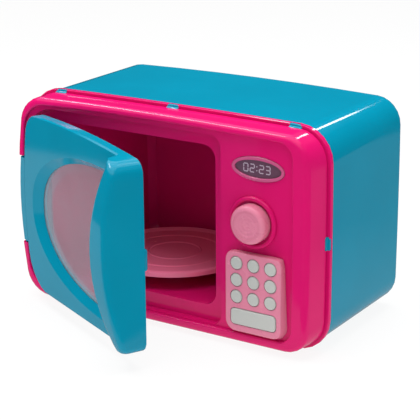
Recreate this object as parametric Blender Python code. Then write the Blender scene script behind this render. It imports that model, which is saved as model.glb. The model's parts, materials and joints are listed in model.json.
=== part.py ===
"""A toy microwave oven in moulded plastic, as an assembly of separate pieces.

Metres, +Z up. The front faces -Y and its controls are on the viewer's right, at +X. The origin is the
middle of the front frame's resting edge, on the floor. Depths are measured back from the front face.
The door stands open, as it does in the rest pose; each key is up and the knob points to the top.
"""
import math
from dataclasses import astuple, dataclass, replace

import bmesh
import bpy
import numpy as np

# Overall sizes of the front frame's rear bead
WIDTH = 0.300
HEIGHT = 0.190
CORNER = 0.029
TOP_CROWN = 0.0014
SIDE_CROWN = 0.0006
LEFT_BOW = 0.003
BEAD_WIDTH = 0.0045
BEAD_BACK = 0.030
BEAD_STAND = 0.0028
BEAD_ROUND = 0.0006
GROOVE_WIDTH = 0.0011
GROOVE_DEPTH = 0.0007

# Front face of the frame, and the walls of the whole moulding
FACE_SIDE_INSET = 0.007
FACE_TOP_INSET = 0.0037
FACE_BOTTOM = 0.0046
FACE_CORNER = 0.020
FACE_TOP_CROWN = 0.0027
FACE_SIDE_CROWN = 0.001
FACE_LEFT_BOW = 0.0085
FACE_ROUND = 0.005
RIM_ROUND = 0.0014
WALL = 0.0025
LEAST_RADIUS = 0.0008
CLEAR = 0.0003
RUN_CLEAR = 0.0001
OVERRUN = 0.001

# Housing behind the frame
DEPTH = 0.1585
SKIN_INSET = 0.0018
BACK_SIDE_INSET = 0.0036
BACK_TOP_INSET = 0.0017
BACK_BOTTOM = 0.005
BACK_TOP_CROWN = 0.0028
BACK_CORNER = 0.0225
BACK_ROUND = 0.005
LIP_INSET = 0.0056
LIP_WALL = 0.0018
LIP_LENGTH = 0.009
LIP_TAPER = 0.0004
JOGGLE_LENGTH = 0.007
FOOT_RADIUS = 0.007
FOOT_FROM_SIDE = 0.055
FOOT_FROM_BACK = 0.0205

# Snap tabs of the housing in their slots
TAB_WIDTH = 0.0092
TAB_LENGTH = 0.004
TAB_INSET = 0.0022
TAB_FROM_BEAD_BACK = 0.0048
TAB_CLEAR = 0.0004
TAB_FROM_SIDE = 0.0325

# Pocket in the face, the panel in it and the deeper seat of the door
POCKET_LEFT_INSET = 0.0105
POCKET_RIGHT_INSET = 0.021
POCKET_TOP_INSET = 0.0100
POCKET_BOTTOM = 0.0128
POCKET_CORNER = 0.012
POCKET_TOP_CROWN = 0.0024
POCKET_SIDE_CROWN = 0.001
POCKET_LEFT_BOW = 0.004
POCKET_UPPER_ROUND = 0.008
POCKET_LOWER_ROUND = 0.010
PANEL_DEPTH = 0.004
SEAT_DEPTH = 0.0113
SEAT_LEFT_INSET = 0.013
SEAT_RIGHT_INSET = 0.0894
SEAT_TOP_INSET = 0.013
SEAT_EDGE = 0.0005
SEAT_CORNER = 0.010
SEAT_TOP_CROWN = 0.0008
SEAT_LEFT_BOW = 0.008
SEAT_UPPER_ROUND = 0.014
SEAT_LOWER_ROUND = 0.018

# Oven opening and its liner
OPENING_LEFT_INSET = 0.028
OPENING_RIGHT_INSET = 0.099
OPENING_TOP_INSET = 0.0239
OPENING_BOTTOM = 0.0267
OPENING_CORNER = 0.012
LINER_STEP = 0.0005
LINER_WALL = 0.002
LINER_BACK_GAP = 0.0085
LINER_FLANGE = 0.0125
LINER_LEFT_DRAFT = 0.0115
LINER_RIGHT_DRAFT = 0.005
LINER_TOP_DRAFT = 0.006
LINER_BACK_ROUND = 0.006
LINER_SCREW_EDGE = 0.0075
LINER_SCREW_SHARES = (0.126, 0.870)
LINER_BOSS_RADIUS = 0.003
LINER_BOSS_HOLE = 0.0034

# Turntable
PLATE_SIDE_SHIFT = 0.001
PLATE_PLACE_SHARE = 0.468
PLATE_WIDTH_SHARE = 0.3728
PLATE_DEPTH_SHARE = 0.48
PLATE_TOP = 0.0435
PLATE_RIM_HEIGHT = 0.005
PLATE_RIM_WIDTH = 0.0022
PLATE_SLOPE_WIDTH = 0.004
PLATE_DISH = 0.0022
PLATE_THICK = 0.0018
PLATE_RING_HEIGHT = 0.0007
PLATE_RING_WIDTH = 0.0022
PLATE_RING_SHARES = (0.40, 0.74)
HUB_RADIUS = 0.016
HUB_HEIGHT = 0.0035
SPINDLE_RADIUS = 0.006
SOCKET_WALL = 0.003
HUB_STEM_RADIUS = 0.005
HUB_STEM_LENGTH = 0.005

# Line of controls: display and knob. The knob's ring fills the room above the keypad.
CONTROLS_FROM_SIDE = 0.0538
DISPLAY_Z_SHARE = 0.8158
DISPLAY_HALF_WIDTH = 0.0247
DISPLAY_HALF_HEIGHT = 0.0102
DISPLAY_RING = 0.0029
DISPLAY_STAND = 0.001
DISPLAY_RECESS = 0.0016
DISPLAY_FLANGE = 0.003
DISPLAY_FLANGE_THICK = 0.0016
DISPLAY_LEDGE = 0.0014
DISPLAY_THICK = 0.0018
KNOB_SIDE_SHIFT = 0.0042
KNOB_Z_SHARE = 0.578
KNOB_STAND = 0.0137
KNOB_ROUND = 0.0072
KNOB_DISH = 0.0011
KNOB_WALL = 0.0024
KNOB_GAP = 0.0007
STEM_RADIUS = 0.004
STEM_PAST_PANEL = 0.0015
WASHER_RADIUS = 0.0085
WASHER_THICK = 0.0012
RING_PAD_GAP = 0.0013
RING_GAP = 0.0007
RING_WIDTH = 0.0041
RING_STAND = 0.003

# Keypad
PAD_WIDTH = 0.054
PAD_FOOT_GAP = 0.0029
PAD_TOP_SHARE = 0.4542
PAD_CORNER = 0.0095
PAD_STAND = 0.0072
PAD_ROUND = 0.0014
PAD_WALL = 0.002
PAD_DRAFT = 0.0006
PAD_SPLAY = 0.0034
KEY_EDGE = 0.01095
KEY_ROW_SHARE = 0.2047
KEY_MIDDLE_SHARE = 0.6388
KEY_SPACE = 0.00365
KEY_STAND = 0.001
KEY_ROUND = 0.0008
KEY_GAP = 0.0006
KEY_FLANGE = 0.0014
KEY_FLANGE_THICK = 0.0008
KEY_TRAVEL = 0.0015
BAR_SIDE_EDGE = 0.00565
BAR_FOOT_EDGE = 0.0065
BAR_KEY_GAP = 0.00505
BAR_CORNER = 0.0036
MAT_THICK = 0.0013
DOME_RADIUS = 0.003
PAD_BOSS_RADIUS = 0.0024

# Screws
SCREW_RADIUS = 0.0010
PILOT_RADIUS = 0.0013
SCREW_BITE = 0.0035
SCREW_HEAD_RADIUS = 0.0044
SCREW_HEAD_THICK = 0.0016
KNOB_SCREW_LENGTH = 0.007

# Door, measured from the hinge axis: across, and out of the front face
HINGE_INSET = 0.0036
HINGE_DEPTH = 0.004
DOOR_OPEN_DEGREES = 25.4
DOOR_LEFT = 0.0129
DOOR_RIGHT_GAP = 0.0006
DOOR_TOP_GAP = 0.0047
DOOR_BOTTOM = 0.0138
DOOR_FRONT = 0.0022
DOOR_THICK = 0.0092
DOOR_WALL = 0.0024
DOOR_CORNER = 0.010
DOOR_TOP_CROWN = 0.0038
DOOR_LEFT_BOW = 0.011
DOOR_UPPER_ROUND = 0.006
DOOR_LOWER_ROUND = 0.020
DOOR_EDGE_ROUND = 0.0018
HANDLE_WIDTH = 0.029
HANDLE_PEAK = 0.0296
HANDLE_END = 0.0131
HANDLE_CREST_RAISE = 0.009
HANDLE_WAIST_DROP = 0.003
HANDLE_FLARE = 0.017
HANDLE_SPAN_SHARE = 1.11
HANDLE_ROUND = 0.007
HANDLE_FREE_ROUND = 0.0055
HANDLE_FOOT = 0.0035
HANDLE_END_ROUND = 0.005
WINDOW_LEFT = 0.0194
WINDOW_FROM_FREE = 0.0364
WINDOW_CURVE_START = 0.0125
WINDOW_FULLNESS = 2.2
WINDOW_EDGE = 0.01325
WINDOW_DROP = 0.00205
WINDOW_CORNER = 0.0085
WINDOW_SLOPE_REACH = 0.0103
WINDOW_SLOPE_HEIGHT = 0.0055
WINDOW_SILL = 0.002
PANE_DEPTH = 0.0058
PANE_THICK = 0.0008
PANE_EDGE = 0.0035
COVER_THICK = 0.0018
COVER_POST_RADIUS = 0.0028
COVER_POST_EDGE = 0.0058
COVER_POST_LEFT = 0.040
COVER_POST_FROM_FREE = 0.053
COVER_HEAD_RADIUS = 0.0026
COVER_HEAD_THICK = 0.0009
CATCH_WIDTH = 0.0055
CATCH_HEIGHT = 0.018
CATCH_DROP = 0.010
CATCH_STAND = 0.0021
CATCH_CLEAR = 0.0004
KNUCKLE_BELOW = 0.0395
KNUCKLE_ABOVE = 0.0375
KNUCKLE_CLEAR = 0.002
KNUCKLE_REACH = 0.0073
KNUCKLE_TAPER = 0.0041
KNUCKLE_ROUND = 0.002
KNUCKLE_BACK = 0.0045
PIN_RADIUS = 0.00135
PIN_LENGTH = 0.005
NOTCH_FLOOR = 0.0118
NOTCH_WIDTH = 0.0056

# Facets
SHARP_DEGREES = 28
CORNER_STEPS = 6
SIDE_STEPS = 6
ROUND_STEPS = 4
SMALL_SIDES = 12
KEY_SIDES = 18
HOLE_SIDES = 20
KNOB_SIDES = 40
PLATE_SIDES = 48
OVAL_SIDES = 40
WINDOW_STEPS = 28
HANDLE_STATIONS = 22
DOOR_STEPS = 6
KNUCKLE_STATIONS = 7

# Depth zero lies this far in front of the origin, which is under the middle of the bead
FRONT = BEAD_WIDTH / 2 - BEAD_BACK
BEAD_FRONT = BEAD_BACK - BEAD_WIDTH
PANEL_BACK = PANEL_DEPTH + WALL
SEAT_BACK = SEAT_DEPTH + WALL
SKIRT_INNER = LIP_INSET - CLEAR
PAD_FACE = PANEL_DEPTH - PAD_STAND
PAD_BACK = PANEL_DEPTH - CLEAR
PAD_SKIN_BACK = PAD_FACE + PAD_WALL
KEY_BACK = PAD_SKIN_BACK + CLEAR + KEY_FLANGE_THICK
LINER_BACK = DEPTH - LINER_BACK_GAP

# Places across the front, from the two sides
SIDE = WIDTH / 2
FOOT_X = SIDE - FOOT_FROM_SIDE
TAB_X = SIDE - TAB_FROM_SIDE
SEAT_RIGHT = SIDE - SEAT_RIGHT_INSET
OPENING_LEFT = OPENING_LEFT_INSET - SIDE
OPENING_RIGHT = SIDE - OPENING_RIGHT_INSET
CONTROLS_X = SIDE - CONTROLS_FROM_SIDE
KNOB_X = CONTROLS_X - KNOB_SIDE_SHIFT
HINGE_X = HINGE_INSET - SIDE
PLATE_X = (OPENING_LEFT + OPENING_RIGHT) / 2 - PLATE_SIDE_SHIFT
PLATE_DEPTH = SEAT_BACK + (LINER_BACK - SEAT_BACK) * PLATE_PLACE_SHARE
PLATE_RADIUS = min((OPENING_RIGHT - OPENING_LEFT) * PLATE_WIDTH_SHARE,
                   (LINER_BACK - SEAT_BACK) * PLATE_DEPTH_SHARE)

# Heights from the whole height
SEAT_TOP = HEIGHT - SEAT_TOP_INSET
OPENING_TOP = HEIGHT - OPENING_TOP_INSET
DISPLAY_Z = HEIGHT * DISPLAY_Z_SHARE
KNOB_Z = HEIGHT * KNOB_Z_SHARE
PAD_BOTTOM = POCKET_BOTTOM + PAD_FOOT_GAP
PAD_TOP = HEIGHT * PAD_TOP_SHARE

# Knob and keys, from the room that they have
RING_OUTER = KNOB_Z - PAD_TOP - RING_PAD_GAP
RING_INNER = RING_OUTER - RING_WIDTH
KNOB_RADIUS = RING_INNER - RING_GAP
KEY_PITCH_X = PAD_WIDTH / 2 - KEY_EDGE
KEY_PITCH_Z = (PAD_TOP - PAD_BOTTOM) * KEY_ROW_SHARE
KEY_MIDDLE_Z = PAD_BOTTOM + (PAD_TOP - PAD_BOTTOM) * KEY_MIDDLE_SHARE
KEY_RADIUS = (min(KEY_PITCH_X, KEY_PITCH_Z) - KEY_SPACE) / 2
BAR_LEFT = CONTROLS_X - PAD_WIDTH / 2 + BAR_SIDE_EDGE
BAR_RIGHT = CONTROLS_X + PAD_WIDTH / 2 - BAR_SIDE_EDGE
BAR_BOTTOM = PAD_BOTTOM + BAR_FOOT_EDGE
BAR_TOP = KEY_MIDDLE_Z - KEY_PITCH_Z - KEY_RADIUS - BAR_KEY_GAP
BAR_Z = (BAR_BOTTOM + BAR_TOP) / 2

# Places on the door
DOOR_RIGHT = SEAT_RIGHT - HINGE_X - DOOR_RIGHT_GAP
DOOR_TOP = SEAT_TOP - DOOR_TOP_GAP
DOOR_REAR = DOOR_THICK - DOOR_FRONT
DOOR_MIDDLE_Z = (DOOR_BOTTOM + DOOR_TOP) / 2
DOOR_HALF_HEIGHT = (DOOR_TOP - DOOR_BOTTOM) / 2
HANDLE_WAIST = DOOR_RIGHT - HANDLE_WIDTH
HANDLE_CREST_Z = DOOR_MIDDLE_Z + HANDLE_CREST_RAISE
HANDLE_WAIST_Z = DOOR_MIDDLE_Z - HANDLE_WAIST_DROP
HANDLE_SPAN = DOOR_HALF_HEIGHT * HANDLE_SPAN_SHARE
WINDOW_RIGHT = DOOR_RIGHT - WINDOW_FROM_FREE
WINDOW_MIDDLE = WINDOW_RIGHT - WINDOW_CURVE_START
WINDOW_REACH = WINDOW_MIDDLE - WINDOW_LEFT
WINDOW_Z = DOOR_MIDDLE_Z - WINDOW_DROP
WINDOW_HALF_HEIGHT = DOOR_HALF_HEIGHT - WINDOW_EDGE
PANE_FRONT = PANE_DEPTH - DOOR_FRONT + CLEAR
COVER_FRONT = PANE_FRONT + PANE_THICK + CLEAR
KNUCKLE_BOTTOM = DOOR_MIDDLE_Z - KNUCKLE_BELOW
KNUCKLE_TOP = DOOR_MIDDLE_Z + KNUCKLE_ABOVE
CATCH_BOTTOM = DOOR_MIDDLE_Z - CATCH_DROP
CATCH_TOP = CATCH_BOTTOM + CATCH_HEIGHT

COLOURS = {
    "teal": (0.0, 0.235, 0.365, 1.0),
    "pink": (0.63, 0.006, 0.13, 1.0),
    "pale_pink": (0.80, 0.28, 0.37, 1.0),
    "key_grey": (0.52, 0.52, 0.47, 1.0),
    "display_grey": (0.10, 0.08, 0.11, 1.0),
    "pane_pink": (0.62, 0.36, 0.42, 0.5),
    "rubber_grey": (0.35, 0.35, 0.35, 1.0),
    "steel": (0.60, 0.60, 0.60, 1.0),
}
METAL = {"steel"}
SOFT = {"rubber_grey"}


@dataclass(frozen=True)
class Frame:
    """A rounded rectangle in the front view whose top and sides are slightly crowned.

    Its left side can bow out further than the right one, between rounder corners.
    """

    left: float
    right: float
    bottom: float
    top: float
    radius: float
    top_crown: float = 0.0
    side_crown: float = 0.0
    left_bow: float = 0.0
    upper_round: float = 0.0
    lower_round: float = 0.0

    def inset(self, by):
        """The same outline drawn in by one distance all round."""
        return replace(self, left=self.left + by, right=self.right - by, bottom=self.bottom + by,
                       top=self.top - by, radius=max(self.radius - by, LEAST_RADIUS))

    def towards(self, other, share):
        """An outline part of the way to another one."""
        values = [a + (b - a) * share for a, b in zip(astuple(self), astuple(other))]
        return Frame(*values)

    def points(self):
        """Corner arcs joined by stepped sides, anticlockwise from the right, then crowned."""
        right = self.radius
        upper = self.radius + self.upper_round
        lower = self.radius + self.lower_round
        corners = ((self.right - right, self.top - right, right),
                   (self.left + upper, self.top - upper, upper),
                   (self.left + lower, self.bottom + lower, lower),
                   (self.right - right, self.bottom + right, right))
        arcs = []
        for quarter, (x, z, r) in enumerate(corners):
            angles = (quarter + np.linspace(0, 1, CORNER_STEPS + 1)) * math.pi / 2
            arcs.append(np.stack([x + r * np.cos(angles), z + r * np.sin(angles)], axis=1))
        pieces = []
        for quarter, arc in enumerate(arcs):
            after = arcs[(quarter + 1) % len(arcs)][0]
            shares = np.linspace(0, 1, SIDE_STEPS + 1)[1:-1, None]
            pieces += [arc, arc[-1] + (after - arc[-1]) * shares]
        points = np.concatenate(pieces)
        across = (points[:, 0] * 2 - self.left - self.right) / (self.right - self.left)
        upward = (points[:, 1] * 2 - self.bottom - self.top) / (self.top - self.bottom)
        points[:, 1] += self.top_crown * (1 - across ** 2) * np.clip(upward, 0, 1)
        sideways = self.side_crown + self.left_bow * (across < 0)
        points[:, 0] += sideways * (1 - upward ** 2) * across
        return points


def oval(x, z, half_width, half_height, inset=0.0, sides=OVAL_SIDES):
    """An ellipse, or a circle, in the front view."""
    angles = np.arange(sides) * 2 * math.pi / sides
    return np.stack([x + (half_width - inset) * np.cos(angles),
                     z + (half_height - inset) * np.sin(angles)], axis=1)


def window_outline(reach_inset=0.0, height_inset=0.0):
    """Half a full oval towards the hinge, closed by an upright side with two round corners."""
    reach = WINDOW_REACH - reach_inset
    half = WINDOW_HALF_HEIGHT - height_inset
    right = WINDOW_RIGHT - height_inset
    radius = min(WINDOW_CORNER - height_inset / 2, right - WINDOW_MIDDLE - LEAST_RADIUS)
    angles = np.linspace(math.pi / 2, 3 * math.pi / 2, WINDOW_STEPS + 1)
    power = 2 / WINDOW_FULLNESS
    across = np.abs(np.cos(angles)) ** power
    upward = np.sign(np.sin(angles)) * np.abs(np.sin(angles)) ** power
    arc = np.stack([WINDOW_MIDDLE - reach * across, WINDOW_Z + half * upward], axis=1)
    turn = np.linspace(0, math.pi / 2, ROUND_STEPS + 1)
    low = np.stack([right - radius + radius * np.sin(turn),
                    WINDOW_Z - half + radius - radius * np.cos(turn)], axis=1)
    high = low[::-1] * (1, -1) + (0, 2 * WINDOW_Z)
    return np.concatenate([arc, low, high])


BEAD = Frame(-SIDE, SIDE, 0, HEIGHT, CORNER, TOP_CROWN, SIDE_CROWN, LEFT_BOW)
FACE = Frame(FACE_SIDE_INSET - SIDE, SIDE - FACE_SIDE_INSET, FACE_BOTTOM, HEIGHT - FACE_TOP_INSET,
             FACE_CORNER, FACE_TOP_CROWN, FACE_SIDE_CROWN, FACE_LEFT_BOW)
BAND_END = BEAD.inset(BEAD_STAND)
BACK = Frame(BACK_SIDE_INSET - SIDE, SIDE - BACK_SIDE_INSET, BACK_BOTTOM, HEIGHT - BACK_TOP_INSET,
             BACK_CORNER, BACK_TOP_CROWN, SIDE_CROWN)
POCKET = Frame(POCKET_LEFT_INSET - SIDE, SIDE - POCKET_RIGHT_INSET, POCKET_BOTTOM, HEIGHT - POCKET_TOP_INSET,
               POCKET_CORNER, POCKET_TOP_CROWN, POCKET_SIDE_CROWN, POCKET_LEFT_BOW, POCKET_UPPER_ROUND,
               POCKET_LOWER_ROUND)
SEAT = Frame(SEAT_LEFT_INSET - SIDE, SEAT_RIGHT, POCKET_BOTTOM + SEAT_EDGE, SEAT_TOP, SEAT_CORNER,
             SEAT_TOP_CROWN, 0, SEAT_LEFT_BOW, SEAT_UPPER_ROUND, SEAT_LOWER_ROUND)
OPENING = Frame(OPENING_LEFT, OPENING_RIGHT, OPENING_BOTTOM, OPENING_TOP, OPENING_CORNER)
PAD = Frame(CONTROLS_X - PAD_WIDTH / 2, CONTROLS_X + PAD_WIDTH / 2, PAD_BOTTOM, PAD_TOP, PAD_CORNER)
BAR = Frame(BAR_LEFT, BAR_RIGHT, BAR_BOTTOM, BAR_TOP, BAR_CORNER)
DOOR = Frame(DOOR_LEFT, DOOR_RIGHT, DOOR_BOTTOM, DOOR_TOP, DOOR_CORNER, DOOR_TOP_CROWN, 0, DOOR_LEFT_BOW,
             DOOR_UPPER_ROUND, DOOR_LOWER_ROUND)


def band(depth):
    """Outline of the frame's tapering band at a depth between its face and its bead."""
    return FACE.towards(BAND_END, depth / BEAD_FRONT)


def skin(depth):
    """Outline of the housing at a depth behind the bead."""
    start = BEAD.inset(SKIN_INSET)
    return start.towards(BACK, (depth - BEAD_BACK) / (DEPTH - BEAD_BACK))


def clear_scene():
    for item in list(bpy.data.objects):
        bpy.data.objects.remove(item, do_unlink=True)


def material(name):
    """A glossy plastic, or the metal of the screws, in its colour."""
    made = bpy.data.materials.get(name)
    if made is None:
        made = bpy.data.materials.new(name)
        made.use_nodes = True
        shader = made.node_tree.nodes["Principled BSDF"]
        colour = COLOURS[name]
        shader.inputs["Base Color"].default_value = colour[:3] + (1.0,)
        shader.inputs["Alpha"].default_value = colour[3]
        shader.inputs["Metallic"].default_value = 1.0 if name in METAL else 0.0
        shader.inputs["Roughness"].default_value = 0.7 if name in SOFT else 0.22
    return made


def finish(name, mesh_builder, origin=(0.0, 0.0, 0.0), parent=None, colour=None):
    """Turns a bmesh into an object whose own origin is where it turns or slides.

    Under a parent the mesh and the origin are in the parent's frame; else both are the model's own.
    """
    bmesh.ops.recalc_face_normals(mesh_builder, faces=mesh_builder.faces)
    bmesh.ops.translate(mesh_builder, verts=mesh_builder.verts, vec=[-value for value in origin])
    mesh = bpy.data.meshes.new(name)
    mesh_builder.to_mesh(mesh)
    mesh_builder.free()
    mesh.shade_smooth()
    mesh.set_sharp_from_angle(angle=math.radians(SHARP_DEGREES))
    made = bpy.data.objects.new(name, mesh)
    bpy.context.scene.collection.objects.link(made)
    made.location = origin
    made.parent = parent
    if colour is not None:
        mesh.materials.append(material(colour))
    return made


def cutter(name, mesh_builder, parent=None):
    """A hidden guide solid that a Boolean cuts with or joins."""
    made = finish(name, mesh_builder, parent=parent)
    made.hide_render = True
    made.display_type = "WIRE"
    return made


def combine(body, tool, operation):
    step = body.modifiers.new(tool.name, "BOOLEAN")
    step.object = tool
    step.operation = operation
    step.solver = "EXACT"


def cut(body, tool):
    combine(body, tool, "DIFFERENCE")


def join(body, tool):
    combine(body, tool, "UNION")


def plain_cap(builder, ring):
    builder.faces.new(ring)


def add_rings(builder, rings, closed=False, cap=plain_cap):
    """Skins a row of equal rings. Open rows get a cap on each end; closed rows come round to the start."""
    made = [[builder.verts.new(point) for point in ring] for ring in rings]
    pairs = list(zip(made, made[1:]))
    if closed:
        pairs.append((made[-1], made[0]))
    for first, second in pairs:
        for index, corner in enumerate(first):
            after = (index + 1) % len(first)
            builder.faces.new((corner, first[after], second[after], second[index]))
    if not closed:
        cap(builder, made[0])
        cap(builder, made[-1])


def front_ring(points, depth):
    """A ring of the front view set at a depth of the model."""
    return [(x, FRONT + depth, z) for x, z in points]


def door_ring(points, back):
    """A ring of the door's front view, set back from the hinge axis, in the door's own frame."""
    return [(x, back, z) for x, z in points]


def loft(sections, closed=False, ring=front_ring, builder=None):
    """Skins outlines at their depths."""
    builder = bmesh.new() if builder is None else builder
    add_rings(builder, [ring(points, depth) for points, depth in sections], closed)
    return builder


def turned(profile, centre, axis, sides, builder=None):
    """Turns a profile of (radius, place along the axis) round Y or Z. A zero radius makes a pole."""
    builder = bmesh.new() if builder is None else builder
    angles = [2 * math.pi * step / sides for step in range(sides)]
    rings = []
    for radius, along in profile:
        turns = angles if radius > 0 else [0.0]
        if axis == "Y":
            points = [(radius * math.cos(a), along, radius * math.sin(a)) for a in turns]
        else:
            points = [(radius * math.cos(a), radius * math.sin(a), along) for a in turns]
        rings.append([builder.verts.new([p + c for p, c in zip(point, centre)]) for point in points])
    row = list(zip(rings, rings[1:]))
    if len(rings[0]) > 1 and len(rings[-1]) > 1:
        row.append((rings[-1], rings[0]))
    for first, second in row:
        for index in range(sides):
            after = (index + 1) % sides
            if len(first) == 1:
                builder.faces.new((first[0], second[after], second[index]))
            elif len(second) == 1:
                builder.faces.new((first[index], first[after], second[0]))
            else:
                builder.faces.new((first[index], first[after], second[after], second[index]))
    return builder


def rod(radius, start, end, centre, axis, sides=SMALL_SIDES, builder=None):
    """A plain cylinder between two places along its axis."""
    profile = [(0, start), (radius, start), (radius, end), (0, end)]
    return turned(profile, centre, axis, sides, builder)


def block(low, high, builder=None):
    """A box between two corners."""
    builder = bmesh.new() if builder is None else builder
    x0, y0, z0 = low
    x1, y1, z1 = high
    ring = ((x0, z0), (x1, z0), (x1, z1), (x0, z1))
    add_rings(builder, [[(x, y0, z) for x, z in ring], [(x, y1, z) for x, z in ring]])
    return builder


def quarter_round(radius, steps=ROUND_STEPS):
    """Pairs of (inset, depth) round a quarter circle, from the face to the side."""
    angles = [math.pi / 2 * step / steps for step in range(steps + 1)]
    return [(radius * (1 - math.sin(a)), radius * (1 - math.cos(a))) for a in angles]


def tab_places():
    """Where the housing snaps into the frame: three above, two below and one each side."""
    middle = HEIGHT / 2
    yield 0, HEIGHT, 0, 1
    for x in (-TAB_X, TAB_X):
        yield x, HEIGHT, 0, 1
        yield x, 0, 0, -1
    yield -SIDE - LEFT_BOW, middle, -1, 0
    yield SIDE, middle, 1, 0


def tab_blocks(grow, outer, inner):
    """Blocks across the joint at every snap tab, between two insets from the bead."""
    builder = bmesh.new()
    low = FRONT + BEAD_BACK - TAB_FROM_BEAD_BACK - TAB_LENGTH / 2 - grow
    high = low + TAB_LENGTH + grow * 2
    half = TAB_WIDTH / 2 + grow
    for x, z, side, up in tab_places():
        if up:
            heights = sorted((z - up * inner, z - up * outer))
            block((x - half, low, heights[0]), (x + half, high, heights[1]), builder)
        else:
            places = sorted((x - side * inner, x - side * outer))
            block((places[0], low, z - half), (places[1], high, z + half), builder)
    return builder


def knob_centre():
    return (KNOB_X, 0, KNOB_Z)


def screw(name, place, depth, length, parent=None, head_radius=SCREW_HEAD_RADIUS,
          head_thick=SCREW_HEAD_THICK):
    """A screw driven in from behind: its head starts at the depth and its shank reaches forward."""
    back = depth + head_thick
    profile = [(0, depth - length), (SCREW_RADIUS, depth - length), (SCREW_RADIUS, depth),
               (head_radius, depth), (head_radius, back), (0, back)]
    builder = turned(profile, place, "Y", SMALL_SIDES)
    return finish(name, builder, parent=parent, colour="steel")


def make_front_frame():
    """Pink front moulding: the lofted body, its pockets cut from the front and its hollow from behind."""
    sections = [(band(d).inset(i).points(), d) for i, d in quarter_round(FACE_ROUND)]
    groove_start = BEAD_FRONT - GROOVE_WIDTH
    sections += [(band(groove_start).points(), groove_start),
                 (BAND_END.inset(GROOVE_DEPTH).points(), groove_start),
                 (BAND_END.inset(GROOVE_DEPTH).points(), BEAD_FRONT),
                 (BEAD.inset(BEAD_ROUND).points(), BEAD_FRONT),
                 (BEAD.points(), BEAD_FRONT + BEAD_ROUND),
                 (BEAD.points(), BEAD_BACK - BEAD_ROUND),
                 (BEAD.inset(BEAD_ROUND).points(), BEAD_BACK)]
    body = finish("front_frame", loft(sections), colour="pink")
    cut(body, cutter("frame_hollow", frame_hollow()))
    cut(body, cutter("panel_hollow", panel_hollow()))
    rim = [(POCKET.inset(-i).points(), d) for i, d in quarter_round(RIM_ROUND)]
    pocket = [(POCKET.inset(-RIM_ROUND).points(), -OVERRUN), *rim, (POCKET.points(), PANEL_DEPTH)]
    cut(body, cutter("face_pocket", loft(pocket)))
    seat = [(SEAT.points(), PANEL_DEPTH - OVERRUN), (SEAT.points(), SEAT_DEPTH)]
    cut(body, cutter("door_seat", loft(seat)))
    join(body, cutter("frame_bosses", frame_bosses()))
    cut(body, cutter("frame_holes", frame_holes()))
    cut(body, cutter("hinge_notch", hinge_notch()))
    cut(body, cutter("tab_slots", tab_blocks(TAB_CLEAR, -OVERRUN * 3, LIP_INSET + OVERRUN)))
    return body


def frame_hollow():
    """Space behind the seat, which widens to take the housing's lip."""
    lip_start = BEAD_BACK - LIP_LENGTH - OVERRUN
    lip = BEAD.inset(SKIRT_INNER).points()
    return loft([(band(SEAT_BACK).inset(WALL).points(), SEAT_BACK),
                 (band(lip_start).inset(WALL).points(), lip_start - OVERRUN),
                 (lip, lip_start),
                 (lip, BEAD_BACK + OVERRUN)])


def panel_hollow():
    """Space behind the control panel, right of the door seat's wall."""
    start = replace(band(PANEL_BACK).inset(WALL), left=SEAT_RIGHT + WALL)
    end = replace(band(SEAT_BACK).inset(WALL), left=SEAT_RIGHT + WALL)
    return loft([(start.points(), PANEL_BACK), (end.points(), SEAT_BACK + OVERRUN)])


def liner_screw_places():
    """Screws above and below the oven opening, on the liner's flange."""
    for share in LINER_SCREW_SHARES:
        x = OPENING_LEFT + (OPENING_RIGHT - OPENING_LEFT) * share
        yield x, OPENING_TOP + LINER_SCREW_EDGE
        yield x, OPENING_BOTTOM - LINER_SCREW_EDGE


def pad_screw_places():
    """Screws in the spaces between four keys."""
    for x in (-KEY_PITCH_X / 2, KEY_PITCH_X / 2):
        for z in (-KEY_PITCH_Z / 2, KEY_PITCH_Z / 2):
            yield CONTROLS_X + x, KEY_MIDDLE_Z + z


def liner_boss_end():
    return SEAT_BACK + CLEAR * 2 + LINER_WALL + CLEAR


def frame_bosses():
    """The raised ring round the knob and the bosses that the liner is screwed to."""
    radius = (RING_OUTER - RING_INNER) / 2
    middle = (RING_OUTER + RING_INNER) / 2
    crest = PANEL_DEPTH - RING_STAND + radius
    arc = [(middle - radius * math.cos(a), FRONT + crest - radius * math.sin(a))
           for a in np.linspace(0, math.pi, 2 * ROUND_STEPS + 1)]
    inside = FRONT + PANEL_DEPTH + OVERRUN
    profile = [(RING_INNER, inside)] + arc + [(RING_OUTER, inside)]
    builder = turned(profile, knob_centre(), "Y", KNOB_SIDES)
    for x, z in liner_screw_places():
        rod(LINER_BOSS_RADIUS, FRONT + SEAT_BACK - OVERRUN, FRONT + liner_boss_end(), (x, 0, z), "Y",
            builder=builder)
    return builder


def frame_holes():
    """Every through hole and blind pilot hole of the frame."""
    builder = loft([(OPENING.points(), SEAT_DEPTH - OVERRUN), (OPENING.points(), SEAT_BACK + OVERRUN)])
    start, end = PANEL_DEPTH - OVERRUN, PANEL_BACK + OVERRUN
    hole = oval(CONTROLS_X, DISPLAY_Z, DISPLAY_HALF_WIDTH, DISPLAY_HALF_HEIGHT, -CLEAR)
    loft([(hole, start), (hole, end)], builder=builder)
    rod(STEM_RADIUS + RUN_CLEAR, FRONT + start, FRONT + end, knob_centre(), "Y", HOLE_SIDES, builder)
    for x, z in pad_screw_places():
        rod(PAD_BOSS_RADIUS + CLEAR, FRONT + start, FRONT + end, (x, 0, z), "Y", builder=builder)
    for x, z in liner_screw_places():
        end = liner_boss_end()
        rod(PILOT_RADIUS, FRONT + end - SCREW_BITE - CLEAR, FRONT + end + OVERRUN, (x, 0, z), "Y",
            builder=builder)
    return builder


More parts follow.
